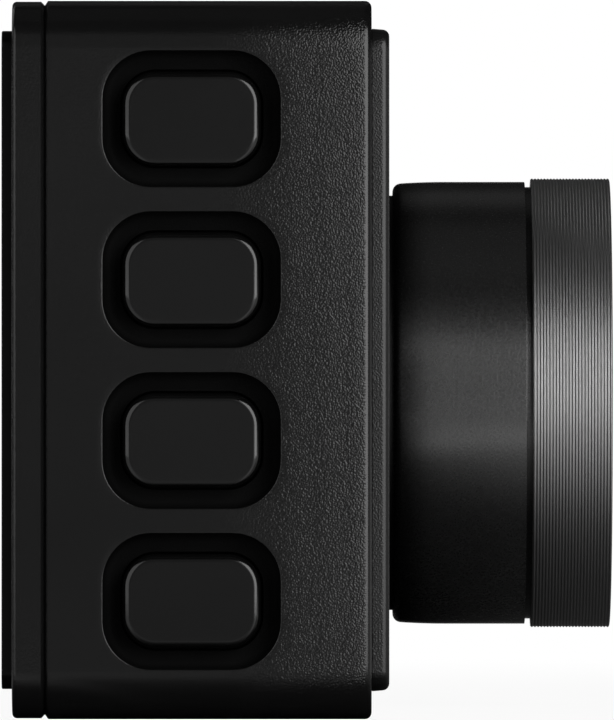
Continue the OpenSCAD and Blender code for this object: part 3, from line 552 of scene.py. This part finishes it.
def grilleHole(bm, x, y, steps=32):           # up through the underside, wider at its mouth
    r, edge = shell["grilleHole"], shell["grilleEdge"]
    rings = [(r + edge, -past), (r + edge, 0.0), (r, edge), (r, shell["wall"] + past)]
    loft(bm, [[(x + s * math.cos(a), y + s * math.sin(a), z) for a in fullTurn(steps)] for s, z in rings])


def sideSlot(bm, mid, half, r):               # opening in the side away from the keys
    x0, edge = shellLow[0], shell["slotEdge"]
    rings = [(x0 - past, edge), (x0, edge), (x0 + edge, 0), (x0 + shell["wall"] + past, 0)]
    loft(bm, [[(x, u, v) for u, v in roundRect((half[0] + grow, half[1] + grow), r + grow, mid)]
              for x, grow in rings])


makePiece("casingShell", buildShell(), [casingPlastic, paintedPocketShade], "camera",
          ["main_shell"])
print("casing shell made")

# rear frame and cover glass
rear = {"cornerR": 2.65, "frontEdge": (0.24, 0.22), "rearEdge": 0.26, "recessEdge": 0.08, "recessGap": 0.1,
        "recessDeep": 0.55, "window": (22.5, 16.5), "windowR": 0.3, "steps": 5}
coverGlass = {"cornerR": 1.0, "rearEdge": 0.08, "frontEdge": 0.06, "shown": (20.4, 15.3), "steps": 5,
              "mattBelow": 0.75}
coverLook = {"print": grey(0.0025), "display": (0.0085, 0.0092, 0.0112, 1.0), "edgeSoft": 0.03,
             "rearFace": (0.05, 0.2), "rough": 0.04, "smear": 0.05, "smearScale": 0.16,
             "smearFrom": (0.45, 0.75), "gloss": 0.5, "wave": 0.002, "waveScale": 0.2}
glassEdgeLook = dict(keyLook, rough=0.3, gloss=0.13)


def yLoop(half, r, y, inset=0.0):             # rounded rectangle that faces along Y
    size = (half[0] - inset, half[1] - inset)
    return [(u, y, v) for u, v in roundRect(size, r - inset, (midX, midZ), 12, 8, 8)]


def buildRearFrame():
    p = rear
    half = halfSize(frameLow, frameHigh, 0, 2)
    recess = [v + p["recessGap"] for v in halfSize(glassLow, glassHigh, 0, 2)]
    rearY, seatY = frameLow[1], frameLow[1] + p["recessDeep"]
    inset, deep = p["frontEdge"]
    loops = [yLoop(half, p["cornerR"], partY, inset), yLoop(half, p["cornerR"], partY - deep)]
    loops += [yLoop(half, p["cornerR"], rearY + s, c) for s, c in roundOff(p["rearEdge"], p["steps"])]
    loops += [yLoop(recess, coverGlass["cornerR"], rearY + c, -s)
              for s, c in roundOff(p["recessEdge"], p["steps"])]
    loops.append(yLoop(recess, coverGlass["cornerR"], seatY))
    loops += [yLoop(p["window"], p["windowR"], y) for y in (seatY, partY)]
    bm = bmesh.new()
    loft(bm, loops, closed=True)
    return bm


def buildCoverGlass():
    p = coverGlass
    half = halfSize(glassLow, glassHigh, 0, 2)
    loops = [yLoop(half, p["cornerR"], glassHigh[1] - c, s) for s, c in roundOff(p["frontEdge"], p["steps"])]
    loops += [yLoop(half, p["cornerR"], glassLow[1] + s, c) for s, c in roundOff(p["rearEdge"], p["steps"])]
    bm = bmesh.new()
    loft(bm, loops)
    return refinish(bm, lambda at, normal: abs(normal.y) < p["mattBelow"])


def coverGlassFinish(name, look):             # black print round a display that is a little lighter
    mat, shade = newFinish(name)
    at = placeMm(shade)
    x, y, z = parts(at)
    half, soft = coverGlass["shown"], look["edgeSoft"]
    edgeX = shade.maths("ABSOLUTE", x - midX) - half[0]
    edgeZ = shade.maths("ABSOLUTE", z - midZ) - half[1]
    inside = 1 - ease(shade.maths("MAXIMUM", edgeX, edgeZ), -soft, soft)
    rearFace = 1 - ease(y, *[glassLow[1] + v for v in look["rearFace"]])
    smear = cloud(at, look["smearScale"], detail=4.0, spread=0.6)
    cover(shade, {
        "Base Color": tint(inside * rearFace, look["print"], look["display"]),
        "Roughness": look["rough"] + ease(smear, *look["smearFrom"]) * look["smear"],
        "Specular IOR Level": look["gloss"],
        "Normal": bump(cloud(at, look["waveScale"], detail=1.0), look["wave"]),
    })
    return mat


makePiece("rearFrame", buildRearFrame(), [casingPlastic], "camera", ["rear_frame"])
makePiece("coverGlass", buildCoverGlass(),
          [coverGlassFinish("coverGlassBlack", coverLook), mouldedFinish("glassEdgeBlack", glassEdgeLook)],
          "camera", ["display_glass"])
print("rear frame and cover glass made")

# stepped front plate
plate = {"cornerR": 1.125, "frontEdge": 0.39, "draft": 0.045, "rearEdge": 0.06, "lensHole": 12.2,
         "cupHole": 6.3, "micHole": 0.5, "holeEdge": 0.12, "steps": 5, "frontAbove": 0.8}


def buildFrontPlate():
    p = plate
    half = halfSize(plateLow, plateHigh, 0, 2)
    loops = [yLoop(half, p["cornerR"], frontY + c, s) for s, c in roundOff(p["rearEdge"], p["steps"])]
    loops += [yLoop(half, p["cornerR"], plateHigh[1] - s, p["draft"] + c)
              for s, c in roundOff(p["frontEdge"], p["steps"])]
    bm = bmesh.new()
    loft(bm, loops)
    cut = bmesh.new()
    holes = ((lensAxis, p["lensHole"], 128), (cupAxis, p["cupHole"], 96), (micAxis, p["micHole"], 32))
    for axis, r, steps in holes:
        rod(cut, axis, r, frontY - past, plateHigh[1], p["holeEdge"], steps)
    return refinish(combine(bm, cut, "DIFFERENCE"), lambda at, normal: normal.y > p["frontAbove"])


makePiece("frontPlate", buildFrontPlate(), [platePlastic, plateFront], "camera",
          ["front_plate"])
print("front plate made")

# keys
key = {"long": 7.8, "high": 5.3, "r": 1.85, "edge": 0.45, "flangeRim": 0.65, "flangeX": 25.25,
       "flangeThick": 0.7, "postR": 1.2, "postFlat": 0.001, "steps": 8}


def buildKey(low, high):
    p = key
    z = middle(low, high, 2)[0]
    half = (p["long"] / 2, p["high"] / 2)

    def xLoop(x, size, r, inset=0.0):
        inner = (size[0] - inset, size[1] - inset)
        return [(x, u, v) for u, v in roundRect(inner, r - inset, (0, z), 12, 4, 2)]

    post = ((p["postR"], p["postR"]), p["postR"] - p["postFlat"])
    back = p["flangeX"] - p["flangeThick"]
    loops = [xLoop(low[0], *post), xLoop(back, *post), xLoop(back, half, p["r"], -p["flangeRim"]),
             xLoop(p["flangeX"], half, p["r"], -p["flangeRim"]), xLoop(p["flangeX"], half, p["r"])]
    loops += [xLoop(high[0] - s, half, p["r"], c) for s, c in roundOff(p["edge"], p["steps"])]
    bm = bmesh.new()
    loft(bm, loops)
    # the flange, seen down the gap, gets the painted pocket shade
    return refinish(bm, lambda at, normal: at.x <= p["flangeX"])


for i, (low, high) in enumerate(keyBoxes, 1):
    makePiece(f"keyCap{i}", buildKey(low, high), [keyPlastic, paintedPocketShade], f"key_{i}",
              [f"key_{i}"])
print("keys made")

# lens, from the barrel to the front glass
hair = 0.01                                   # mm, to pick faces that lie on a plane or a cylinder
lens = {"barrelR": 12.9, "collarR": 12.1, "collarY": 11.475, "waist": 0.12, "waistLong": 3.0, "waistSteps": 8,
        "footEdge": 0.5, "frontEdge": 0.025, "smallEdge": 0.1, "stubR": 11.4, "barrelEnd": 19.175,
        "spigotBore": 11.35, "spigotSeat": 15.475, "cellBore": 9.2, "cellSeat": 11.8, "rearBore": 7.8}
ribs = {"count": 25, "depth": 0.052, "steps": 10, "neckR": 12.6, "neckLong": 0.35, "spigotR": 11.3,
        "spigotY": 15.575, "boreR": 9.2, "seatR": 11.7, "seatY": 20.625, "frontEdge": 0.06,
        "endEdge": ((0.02, 0.02), (0.06, 0.0))}
bezel = {"outerR": 11.65, "throatR": 8.2, "mouthR": 10.9, "lip": 0.5, "edge": 0.08, "steps": 9,
         "baffleLip": 0.02, "baffle": ((0.12, 0.72), (0.8, 0.98))}
cell = {"headR": 8.8, "headY": 12.0, "headEdge": 0.1, "edge": 0.12, "stepR": 8.45, "stepDeep": 0.15,
        "stepEdge": 0.02, "seatR": 8.0, "seatY": 17.425, "seatEdge": 0.05, "middleR": 5.25, "middleEdge": 0.1,
        "stopY": 13.225, "throatR": 3.15, "tailSeat": 8.325, "tailBore": 4.0, "boreEdge": 0.08, "tailR": 6.0,
        "tailEdge": 0.15}
frontGlass = {"rise": 2.8, "hollowR": 7.6, "hollowRim": 5.55, "steps": 24}
lensGlassLook = {"hue": ((0.93, 0.95, 0.97, 1.0), (0.97, 0.98, 1.0, 1.0)), "rough": 0.05, "smear": 0.03,
                 "smearScale": 0.3, "smearFrom": (0.5, 0.8), "ior": 1.52, "film": 330.0, "filmIor": 1.38}


def fromAxis(at):                             # distance from the lens axis
    return math.hypot(at.x - lensAxis[0], at.z - lensAxis[1])


def buildBarrel():
    p = lens
    y0 = nodeBox("lens_barrel")[0][1]
    waist = []
    for k in range(2, p["waistSteps"] + 1):
        t = k / p["waistSteps"]
        waist.append((p["barrelR"] - p["waist"] * (1 - t) ** 2, p["collarY"] + p["waistLong"] * t, 0))
    foot = [(p["rearBore"], y0, 0), (p["stubR"], y0, p["smallEdge"]), (p["stubR"], frontY, 0),
            (p["collarR"], frontY, 0), (p["collarR"], p["collarY"], 0),
            (p["barrelR"] - p["waist"], p["collarY"], p["footEdge"])]
    mouth = [(p["barrelR"], p["barrelEnd"], p["frontEdge"]),
             (p["spigotBore"], p["barrelEnd"], p["smallEdge"]), (p["spigotBore"], p["spigotSeat"], 0),
             (p["cellBore"], p["spigotSeat"], 0), (p["cellBore"], p["cellSeat"], 0),
             (p["rearBore"], p["cellSeat"], 0)]
    bm = bmesh.new()
    lathe(bm, softProfile(foot + waist + mouth, 8), lensAxis, 192)
    return refinish(bm, lambda at, normal: frontY - hair < at.y < p["collarY"] - hair and
                    p["stubR"] < fromAxis(at) < p["collarR"] + hair)


def buildRing():
    p = ribs
    ringR, y1 = ringHigh[0] - lensAxis[0], ringHigh[1]
    y0 = lens["barrelEnd"] + p["neckLong"]
    pitch = (y1 - y0) / p["count"]
    profile = [(p["boreR"], p["spigotY"]), (p["spigotR"], p["spigotY"]), (p["spigotR"], lens["barrelEnd"]),
               (p["neckR"], lens["barrelEnd"]), (p["neckR"], y0)]
    for i in range(p["count"]):
        for k in range(p["steps"]):
            t = k / p["steps"]
            profile.append((ringR - p["depth"] * (1 + math.cos(2 * math.pi * t)) / 2, y0 + (i + t) * pitch))
    profile += [(ringR - p["depth"] - down, y1 - back) for down, back in p["endEdge"]]
    profile += [(p["seatR"] + p["frontEdge"], y1), (p["seatR"], y1 - p["frontEdge"]),
                (p["seatR"], p["seatY"]), (p["boreR"], p["seatY"])]
    bm = bmesh.new()
    lathe(bm, profile, lensAxis, 192)
    return refinish(bm, lambda at, normal: lens["barrelEnd"] < at.y < y0 - hair and
                    p["spigotR"] < fromAxis(at) < p["neckR"] + hair)


def buildBezel():
    p = bezel
    low, high = nodeBox("lens_bezel")
    y0, y1 = low[1], high[1]
    profile = [(p["throatR"], y0), (p["outerR"], y0), (p["outerR"], y1 - p["edge"]),
               (p["outerR"] - p["edge"], y1), (p["mouthR"] + p["edge"], y1)]
    rise = (y1 - y0 - p["lip"]) / p["steps"]
    run = (p["mouthR"] - p["throatR"]) / p["steps"]
    for k in range(p["steps"]):               # light baffles down the cone
        r, y = p["mouthR"] - k * run, y1 - k * rise
        profile.append((r, y - p["baffleLip"]))
        profile += [(r - run * across, y - rise * down) for across, down in p["baffle"]]
    profile.append((p["throatR"], y0 + p["lip"]))
    bm = bmesh.new()
    lathe(bm, profile, lensAxis, 160)
    return bm


makePiece("lensBarrel", buildBarrel(), [barrelCoatAndFootShade, trimBlack], "camera", ["lens_barrel"])
makePiece("lensRing", buildRing(), [ringAnodised, neckBlack], "camera", ["lens_ring"])
makePiece("lensBezel", buildBezel(), [trimBlack], "camera", ["lens_bezel"])
print("lens barrel, ring and bezel made")


def buildCell():
    p = cell
    low, high = nodeBox("lens_cell")
    y0, y1 = low[1], high[1]
    corners = [(p["tailBore"], y0, p["boreEdge"]), (p["tailR"], y0, p["tailEdge"]),
               (p["tailR"], p["headY"], 0), (p["headR"], p["headY"], p["headEdge"]),
               (p["headR"], y1, p["edge"]), (p["stepR"], y1, p["stepEdge"]),
               (p["stepR"], y1 - p["stepDeep"], p["stepEdge"]),
               (p["seatR"], y1 - p["stepDeep"], p["seatEdge"]), (p["seatR"], p["seatY"], 0),
               (p["middleR"], p["seatY"], p["middleEdge"]), (p["middleR"], p["stopY"], 0),
               (p["throatR"], p["stopY"], 0), (p["throatR"], p["tailSeat"], 0),
               (p["tailBore"], p["tailSeat"], 0)]
    bm = bmesh.new()
    lathe(bm, softProfile(corners), lensAxis, 128)
    return bm


def buildFrontGlass():
    p = frontGlass
    low, high = nodeBox("front_element")
    r, y0, apex = high[0] - lensAxis[0], low[1], high[1]
    ball = (r * r + p["rise"] ** 2) / (2 * p["rise"])
    hollowY = y0 - math.sqrt(p["hollowR"] ** 2 - p["hollowRim"] ** 2)
    wide, tall = math.asin(p["hollowRim"] / p["hollowR"]), math.asin(r / ball)
    hollow = [wide * k / p["steps"] for k in range(p["steps"] + 1)]
    dome = [tall * (1 - k / p["steps"]) for k in range(p["steps"] + 1)]
    profile = [(p["hollowR"] * math.sin(a), hollowY + p["hollowR"] * math.cos(a)) for a in hollow]
    profile += [(r, y0)] + [(ball * math.sin(a), apex - ball + ball * math.cos(a)) for a in dome]
    bm = bmesh.new()
    lathe(bm, profile, lensAxis, 128)
    return bm


def lensGlassFinish(name, look):              # clear, with a thin coating that tints what it reflects
    mat, shade = newFinish(name)
    smear = cloud(placeMm(shade), look["smearScale"], detail=4.0, spread=0.5)
    cover(shade, {
        "Base Color": tint(smear, *look["hue"]),
        "Roughness": look["rough"] + ease(smear, *look["smearFrom"]) * look["smear"],
        "IOR": look["ior"], "Transmission Weight": 1.0,
        "Thin Film Thickness": look["film"], "Thin Film IOR": look["filmIor"],
    })
    return mat


lensGlass = lensGlassFinish("lensGlass", lensGlassLook)
makePiece("lensCell", buildCell(), [trimBlack], "camera", ["lens_cell"])
makePiece("frontGlass", buildFrontGlass(), [lensGlass], "camera", ["front_element"])
print("lens cell and front glass made")

# ball socket in the front face
cup = {"mouthR": 5.1, "mouthLong": 1.2, "edge": 0.25, "outerEdge": 0.15, "rearEdge": 0.2, "steps": 20}


def buildCup():
    p = cup
    r, y0, y1 = cupHigh[0] - cupAxis[0], cupLow[1], cupHigh[1]
    ballY = y1 - p["mouthLong"]
    rim = softProfile([(0, y0, 0), (r, y0, p["rearEdge"]), (r, y1, p["outerEdge"]),
                       (p["mouthR"], y1, p["edge"]), (p["mouthR"], ballY, 0)], 5)
    turns = quarter(p["steps"])[1:]
    bowl = [(p["mouthR"] * math.cos(a), ballY - p["mouthR"] * math.sin(a)) for a in turns]
    bm = bmesh.new()
    lathe(bm, rim + bowl, cupAxis, 128)
    return bm


makePiece("ballCup", buildCup(), [cupSteel], "camera", ["socket_cup"])
print("ball socket made")

# power socket and its tongue
usb = {"flat": 0.1, "wall": 0.3, "rim": 0.1, "depth": 6.2, "steps": 4, "tongueR": 0.14, "tongueNose": 0.15,
       "noseBlunt": 0.3, "pads": 12, "padPitch": 0.5, "padWide": 0.26, "padProud": 0.015, "padSunk": 0.02,
       "padFrom": 0.35, "padLong": 3.4}


def usbLoop(x, half, r, inset=0.0):
    size = (half[0] - inset, half[1] - inset)
    return [(x, u, v) for u, v in roundRect(size, r - inset, usbMid, 10, 2, 4)]


def buildUsbSocket():
    p = usb
    half = halfSize(usbLow, usbHigh, 1, 2)
    r, x0 = half[0] - p["flat"], usbLow[0]
    loops = [usbLoop(usbHigh[0], half, r)]
    rim = roundOff(p["rim"], p["steps"])
    loops += [usbLoop(x0 + s, half, r, c) for s, c in rim]
    loops += [usbLoop(x0 + c, half, r, p["wall"] - s) for s, c in rim]
    loops.append(usbLoop(x0 + p["depth"], half, r, p["wall"]))
    bm = bmesh.new()
    loft(bm, loops)
    return bm


def addPad(bm, low, high):                    # gilded contact
    (x0, y0, z0), (x1, y1, z1) = low, high
    loft(bm, [[(x, y0, z0), (x, y1, z0), (x, y1, z1), (x, y0, z1)] for x in (x0, x1)], finish=1)


def buildTongue():
    p = usb
    low, high = nodeBox("usb_tongue")
    half = halfSize(low, high, 1, 2)
    nose = p["tongueNose"]
    blunt = nose * p["noseBlunt"]
    ends = ((high[0], 0), (low[0] + nose, 0), (low[0] + blunt, blunt), (low[0], nose))
    bm = bmesh.new()
    loft(bm, [usbLoop(x, (half[0] - inset, half[1] - inset), p["tongueR"]) for x, inset in ends])
    x = low[0] + p["padFrom"]
    for i in range(p["pads"]):
        z = usbMid[1] + (i - (p["pads"] - 1) / 2) * p["padPitch"]
        for side in (-1, 1):
            y = sorted(usbMid[0] + side * (half[0] + out) for out in (-p["padSunk"], p["padProud"]))
            addPad(bm, (x, y[0], z - p["padWide"] / 2), (x + p["padLong"], y[1], z + p["padWide"] / 2))
    return bm


# memory card
card = {"outline": ((0, 0), (15, 0), (15, 9.0), (14.3, 9.7), (9.2, 9.7), (8.9, 10.0), (8.9, 10.5), (8.1, 11),
                    (0, 11)),
        "thick": 0.7, "ridge": 1.6, "ridgeSlope": 0.5, "ridgeFrom": 0.2, "ridgeSunk": 0.05, "edge": 0.09,
        "flatBelow": 0.01, "sharpAbove": 0.4, "pads": 8, "padPitch": 1.1, "padWide": 0.8, "padLong": 2.9,
        "padFrom": 11.6, "padFirst": 1.0, "padProud": 0.012, "padSunk": 0.02}


def buildCard():
    p = card
    x0, y0, z0 = cardLow
    ridgeEnd = x0 + p["ridge"] + p["ridgeSlope"]
    back = [(x0, y0 + p["ridgeFrom"]), (x0, cardHigh[1]), (x0 + p["ridge"], cardHigh[1]),
            (ridgeEnd, y0 + p["thick"] - p["ridgeSunk"]), (ridgeEnd, y0 + p["ridgeFrom"])]
    body, ridge = bmesh.new(), bmesh.new()
    loft(body, [[(x0 + u, y, z0 + v) for u, v in p["outline"]] for y in (y0, y0 + p["thick"])])
    loft(ridge, [[(x, y, z) for x, y in back] for z in (z0, cardHigh[2])])
    bm = combine(body, ridge, "UNION")
    bmesh.ops.dissolve_limit(bm, angle_limit=p["flatBelow"], verts=bm.verts, edges=bm.edges)
    sharp = [e for e in bm.edges if e.is_manifold and e.calc_face_angle(0.0) > p["sharpAbove"]]
    bmesh.ops.bevel(bm, geom=sharp, offset=p["edge"], segments=2, profile=0.5, affect="EDGES",
                    clamp_overlap=True)
    x = x0 + p["padFrom"]
    for i in range(p["pads"]):
        z = z0 + p["padFirst"] + i * p["padPitch"]
        addPad(bm, (x, y0 - p["padProud"], z - p["padWide"] / 2),
               (x + p["padLong"], y0 + p["padSunk"], z + p["padWide"] / 2))
    return bm


goldLook = {"hue": ((0.62, 0.42, 0.16, 1.0), (0.72, 0.5, 0.22, 1.0)), "metal": 1.0, "markScale": 10.0,
            "driftScale": 0.5, "fineScale": 6.0, "marks": 0.3, "fine": 0.3, "depth": 0.002, "rough": 0.28,
            "roughMarks": 0.1, "roughFine": 0.1, "gloss": 0.5}
steelLook = dict(goldLook, hue=(grey(0.40), grey(0.50)), rough=0.3)
tongueLook = dict(keyLook, rough=0.4)
cardLook = dict(keyLook, hue=(grey(0.012), grey(0.016)), rough=0.42, depth=0.006)
gold = turnedFinish("goldContacts", goldLook, lensAxis)
steel = turnedFinish("steelSheet", steelLook, lensAxis)
makePiece("powerSocket", buildUsbSocket(), [steel], "camera", ["usb_socket"])
makePiece("powerTongue", buildTongue(), [mouldedFinish("tonguePlastic", tongueLook), gold], "camera",
          ["usb_tongue"])
makePiece("memoryCard", buildCard(), [mouldedFinish("cardPlastic", cardLook), gold], "card",
          ["memory_card"])
print("power socket and memory card made")

# pieces inside keep their CAD shapes and get a finish each
insideBase = {"driftScale": 0.3, "grainScale": 4.0, "fineScale": 9.0, "pebble": 0.5, "fine": 0.5,
              "depth": 0.006, "rough": 0.5, "roughDrift": 0.06, "roughFine": 0.1, "gloss": 0.4}
insideLooks = {
    "white_plastic": {"hue": ((0.60, 0.60, 0.56, 1.0), (0.68, 0.68, 0.65, 1.0)), "rough": 0.45},
    "tape": {"hue": (grey(0.008), grey(0.014)), "rough": 0.75, "depth": 0.02, "fineScale": 6.0},
    "rubber": {"hue": (grey(0.022), grey(0.04)), "rough": 0.85, "depth": 0.04, "grainScale": 5.0},
    "chip": {"hue": (grey(0.014), grey(0.02)), "rough": 0.55, "depth": 0.008, "fineScale": 12.0},
    "ceramic": {"hue": ((0.52, 0.45, 0.32, 1.0), (0.60, 0.53, 0.40, 1.0)), "rough": 0.6, "depth": 0.01},
    "light_guide": {"hue": ((0.70, 0.72, 0.72, 1.0), (0.78, 0.80, 0.80, 1.0)), "rough": 0.15},
    "panel_glass": {"hue": ((0.010, 0.011, 0.014, 1.0), (0.013, 0.014, 0.018, 1.0)), "rough": 0.12},
}
foilLook = dict(steelLook, hue=(grey(0.5), grey(0.6)), rough=0.34, fineScale=1.2, fine=1.0, depth=0.03)
nickelLook = dict(steelLook, hue=((0.5, 0.48, 0.44, 1.0), (0.58, 0.56, 0.52, 1.0)), rough=0.2)
boardLook = {"mask": (0.012, 0.075, 0.035, 1.0), "trace": (0.03, 0.13, 0.065, 1.0), "scale": 0.9,
             "bond": {"offset": 0.37, "squash": 0.6, "squash_frequency": 3}, "gap": 0.06, "gapSoft": 0.3,
             "speckScale": 5.0, "speck": 0.15, "rough": 0.38, "roughSpeck": 0.12, "depth": 0.03}
ribbonLook = {"film": (0.35, 0.14, 0.025, 1.0), "trace": (0.55, 0.27, 0.07, 1.0), "pitch": 0.5,
              "runs": (-0.2, 0.5), "speckScale": 4.0, "speck": 0.2, "rough": 0.3, "roughSpeck": 0.1,
              "depth": 0.02}


def boardFinish(name, look):                  # solder mask over raised copper runs
    mat, shade = newFinish(name)
    at = placeMm(shade)
    x, y, z = parts(at)
    flat = shade.node("ShaderNodeCombineXYZ", {}, {"X": x, "Y": z, "Z": y})
    runs = shade.node("ShaderNodeTexBrick", look["bond"],
                      {"Vector": flat, "Scale": look["scale"], "Mortar Size": look["gap"],
                       "Mortar Smooth": look["gapSoft"]}, "Fac")
    speck = cloud(at, look["speckScale"], detail=2.0)
    cover(shade, {
        "Base Color": tint(runs, look["mask"], look["trace"]),
        "Roughness": look["rough"] + (speck - 0.5) * look["roughSpeck"],
        "Normal": bump(runs + speck * look["speck"], look["depth"]),
    })
    return mat


def ribbonFinish(name, look):                 # amber film over fine copper runs
    mat, shade = newFinish(name)
    at = placeMm(shade)
    x, y, z = parts(at)
    wave = shade.maths("SINE", (x + z) * (2 * math.pi / look["pitch"]))
    runs = ease(wave, *look["runs"])
    speck = cloud(at, look["speckScale"], detail=2.0)
    cover(shade, {
        "Base Color": tint(runs, look["film"], look["trace"]),
        "Roughness": look["rough"] + (speck - 0.5) * look["roughSpeck"],
        "Normal": bump(runs + speck * look["speck"], look["depth"]),
    })
    return mat


insideFinish = {slot: mouldedFinish(slot, {**insideBase, **look}) for slot, look in insideLooks.items()}
insideFinish.update({
    "trim_plastic": trimBlack, "steel": steel, "brass": gold, "lens_glass": lensGlass,
    "cell_foil": turnedFinish("cellFoil", foilLook, cupAxis),
    "magnet_nickel": turnedFinish("magnetNickel", nickelLook, cupAxis),
    "circuit_board": boardFinish("circuitBoard", boardLook),
    "ribbon": ribbonFinish("amberRibbon", ribbonLook),
})
for part in frame["record"]["subparts"]:
    if part["node"] not in standIns:
        for held in nodes[part["node"]].material_slots:
            held.material = insideFinish[part["material_slot"]]
print("finishes of", len(nodes) - len(standIns), "inside pieces made")

# studio
cameraAt = {"place": (981.0, 6.485, 20.25), "lens": 847.45, "sensor": 36.0, "clip": (0.05, 60.0)}
lampsAim = (0.0, 6.0, 20.0)                   # mm
boxes = {
    "cameraBox": {"azimuth": -13, "elevation": 16, "away": 400, "size": (270, 300), "glow": 0.163},
    "edgeBox": {"azimuth": 15, "elevation": 14, "away": 400, "size": (100, 280), "glow": 0.65},
    "rightBox": {"azimuth": 35.5, "elevation": 9, "away": 260, "size": (146, 300), "glow": 4.2},
    "leftBox": {"azimuth": -48, "elevation": 14, "away": 300, "size": (270, 300), "glow": 1.18},
    "topBox": {"azimuth": 0, "elevation": 88, "away": 420, "size": (300, 300), "glow": 0.038},
    "backBox": {"azimuth": 180, "elevation": 46, "away": 420, "size": (300, 150), "glow": 0.07},
    "rearBox": {"azimuth": -120, "elevation": 30, "away": 420, "size": (300, 300), "glow": 0.8},
}
backdrop = {"ambient": 0.012, "inner": 0.987, "outer": 0.998}
# reflections see painted light and shade on the floor: pools below the boxes, shadow under the object
floorLook = {"pale": 0.8, "share": 0.94, "near": 0.05, "far": 0.18, "gloss": 0.32, "horizon": 0.18,
             "side": 0.75, "under": 0.033, "right": (0.03, 0.08), "behind": (0.3, 1.2), "shineSoft": 0.006,
             "shine": (((0.027, 0.002), 35.5, 0.28, 0.6), ((0.027, -0.002), -48.0, 0.45, 0.3)),
             "shades": (((0.0, 0.0), (0.028, 0.010), 0.014), ((-0.009, 0.021), (0.015, 0.008), 0.026)),
             "rings": (0.05, 0.2, 1.0, 20.0), "steps": 96}         # metres


def softBox(name, look):
    a, e = math.radians(look["azimuth"]), math.radians(look["elevation"])
    out = Vector((math.cos(e) * math.cos(a), math.cos(e) * math.sin(a), math.sin(e)))
    lamp = bpy.data.lights.new(name, "AREA")
    lamp.shape = "RECTANGLE"
    lamp.size, lamp.size_y = look["size"][0] * mm, look["size"][1] * mm
    lamp.energy = look["glow"] * math.pi * lamp.size * lamp.size_y
    obj = bpy.data.objects.new(name, lamp)
    obj.location = (Vector(lampsAim) + out * look["away"]) * mm
    obj.rotation_mode = "QUATERNION"
    obj.rotation_quaternion = (-out).to_track_quat("-Z", "Y")
    obj.visible_camera = False
    scene.collection.objects.link(obj)


def whiteRays(shade):                         # rays that see a plain white studio
    kinds = ("Camera", "Glossy", "Transmission")
    return [shade.node("ShaderNodeLightPath", out=f"Is {kind} Ray") for kind in kinds]


def buildWorld():
    world = bpy.data.worlds.new("studio")
    scene.world = world
    world.use_nodes = True
    world.node_tree.nodes.clear()
    shade = Socket(world.node_tree)
    seen, glossy, through = whiteRays(shade)
    x, y, z = parts(shade.node("ShaderNodeTexCoord", out="Generated"))
    behind = ease(0 - x, backdrop["inner"], backdrop["outer"])
    white = shade.maths("MINIMUM", seen + (glossy + through) * behind, 1.0)
    colour = tint(white, grey(backdrop["ambient"]), grey(1.0))
    output(shade, shade.node("ShaderNodeBackground", {}, {"Color": colour}), "ShaderNodeOutputWorld")


def buildFloor():
    p = floorLook
    bm = bmesh.new()
    turns = fullTurn(p["steps"])
    rings = [addLoop(bm, [(r * math.cos(a), r * math.sin(a), 0) for a in turns]) for r in p["rings"]]
    bm.faces.new(rings[0])
    for a, b in zip(rings, rings[1:]):
        bridge(bm, a, b)
    mesh = bpy.data.meshes.new("paleFloor")
    bm.to_mesh(mesh)
    bm.free()
    mat, shade = newFinish("paleFloor")
    seen, glossy, through = whiteRays(shade)
    x, y, z = parts(shade.node("ShaderNodeTexCoord", out="Object"))
    far = ease((x * x + y * y) ** 0.5, p["near"], p["far"])
    lit = []
    for mid, half, soft in p["shades"]:       # painted shadow where the object stands
        outX = shade.maths("MAXIMUM", shade.maths("ABSOLUTE", x - mid[0]) - half[0], 0.0)
        outY = shade.maths("MAXIMUM", shade.maths("ABSOLUTE", y - mid[1]) - half[1], 0.0)
        lit.append(ease((outX * outX + outY * outY) ** 0.5, 0.0, soft))
    # painted light: in reflections the floor is brighter near the object than at the horizon, and brighter on
    # the right below the right box
    front = p["gloss"] + (p["horizon"] - p["gloss"]) * far
    bright = front + (p["side"] - front) * ease(y, *p["right"])
    mirrored = lit[0] * (p["under"] + lit[1] * bright) + ease(0 - x, *p["behind"])
    for start, azimuth, spread, level in p["shine"]:      # painted pools of light on the table below the right and left boxes
        c, s = math.cos(math.radians(azimuth)), math.sin(math.radians(azimuth))
        along = (x - start[0]) * c + (y - start[1]) * s
        across = shade.maths("ABSOLUTE", (y - start[1]) * c - (x - start[0]) * s)
        mirrored = mirrored + ease(along * spread - across, 0.0, p["shineSoft"]) * level
    share = seen * (p["share"] + far * (1 - p["share"])) + glossy + through
    shown = tint(shade.maths("MAXIMUM", seen, mirrored), grey(0.0), grey(1.0))
    pale = shade.node("ShaderNodeBsdfDiffuse", {}, {"Color": grey(p["pale"])})
    white = shade.node("ShaderNodeEmission", {}, {"Color": shown})
    output(shade, shade.node("ShaderNodeMixShader", {}, {0: share, 1: pale, 2: white}))
    mesh.materials.append(mat)
    obj = bpy.data.objects.new("paleFloor", mesh)
    scene.collection.objects.link(obj)


for name, look in boxes.items():
    softBox(name, look)
buildWorld()
buildFloor()
camera = bpy.data.objects.new("camera", bpy.data.cameras.new("camera"))
camera.data.lens, camera.data.sensor_width = cameraAt["lens"], cameraAt["sensor"]
camera.data.clip_start, camera.data.clip_end = cameraAt["clip"]
camera.location = Vector(cameraAt["place"]) * mm
camera.rotation_euler = (math.radians(90), 0, math.radians(90))
scene.collection.objects.link(camera)
scene.camera = camera
scene.view_settings.view_transform = "Standard"
print("studio made")
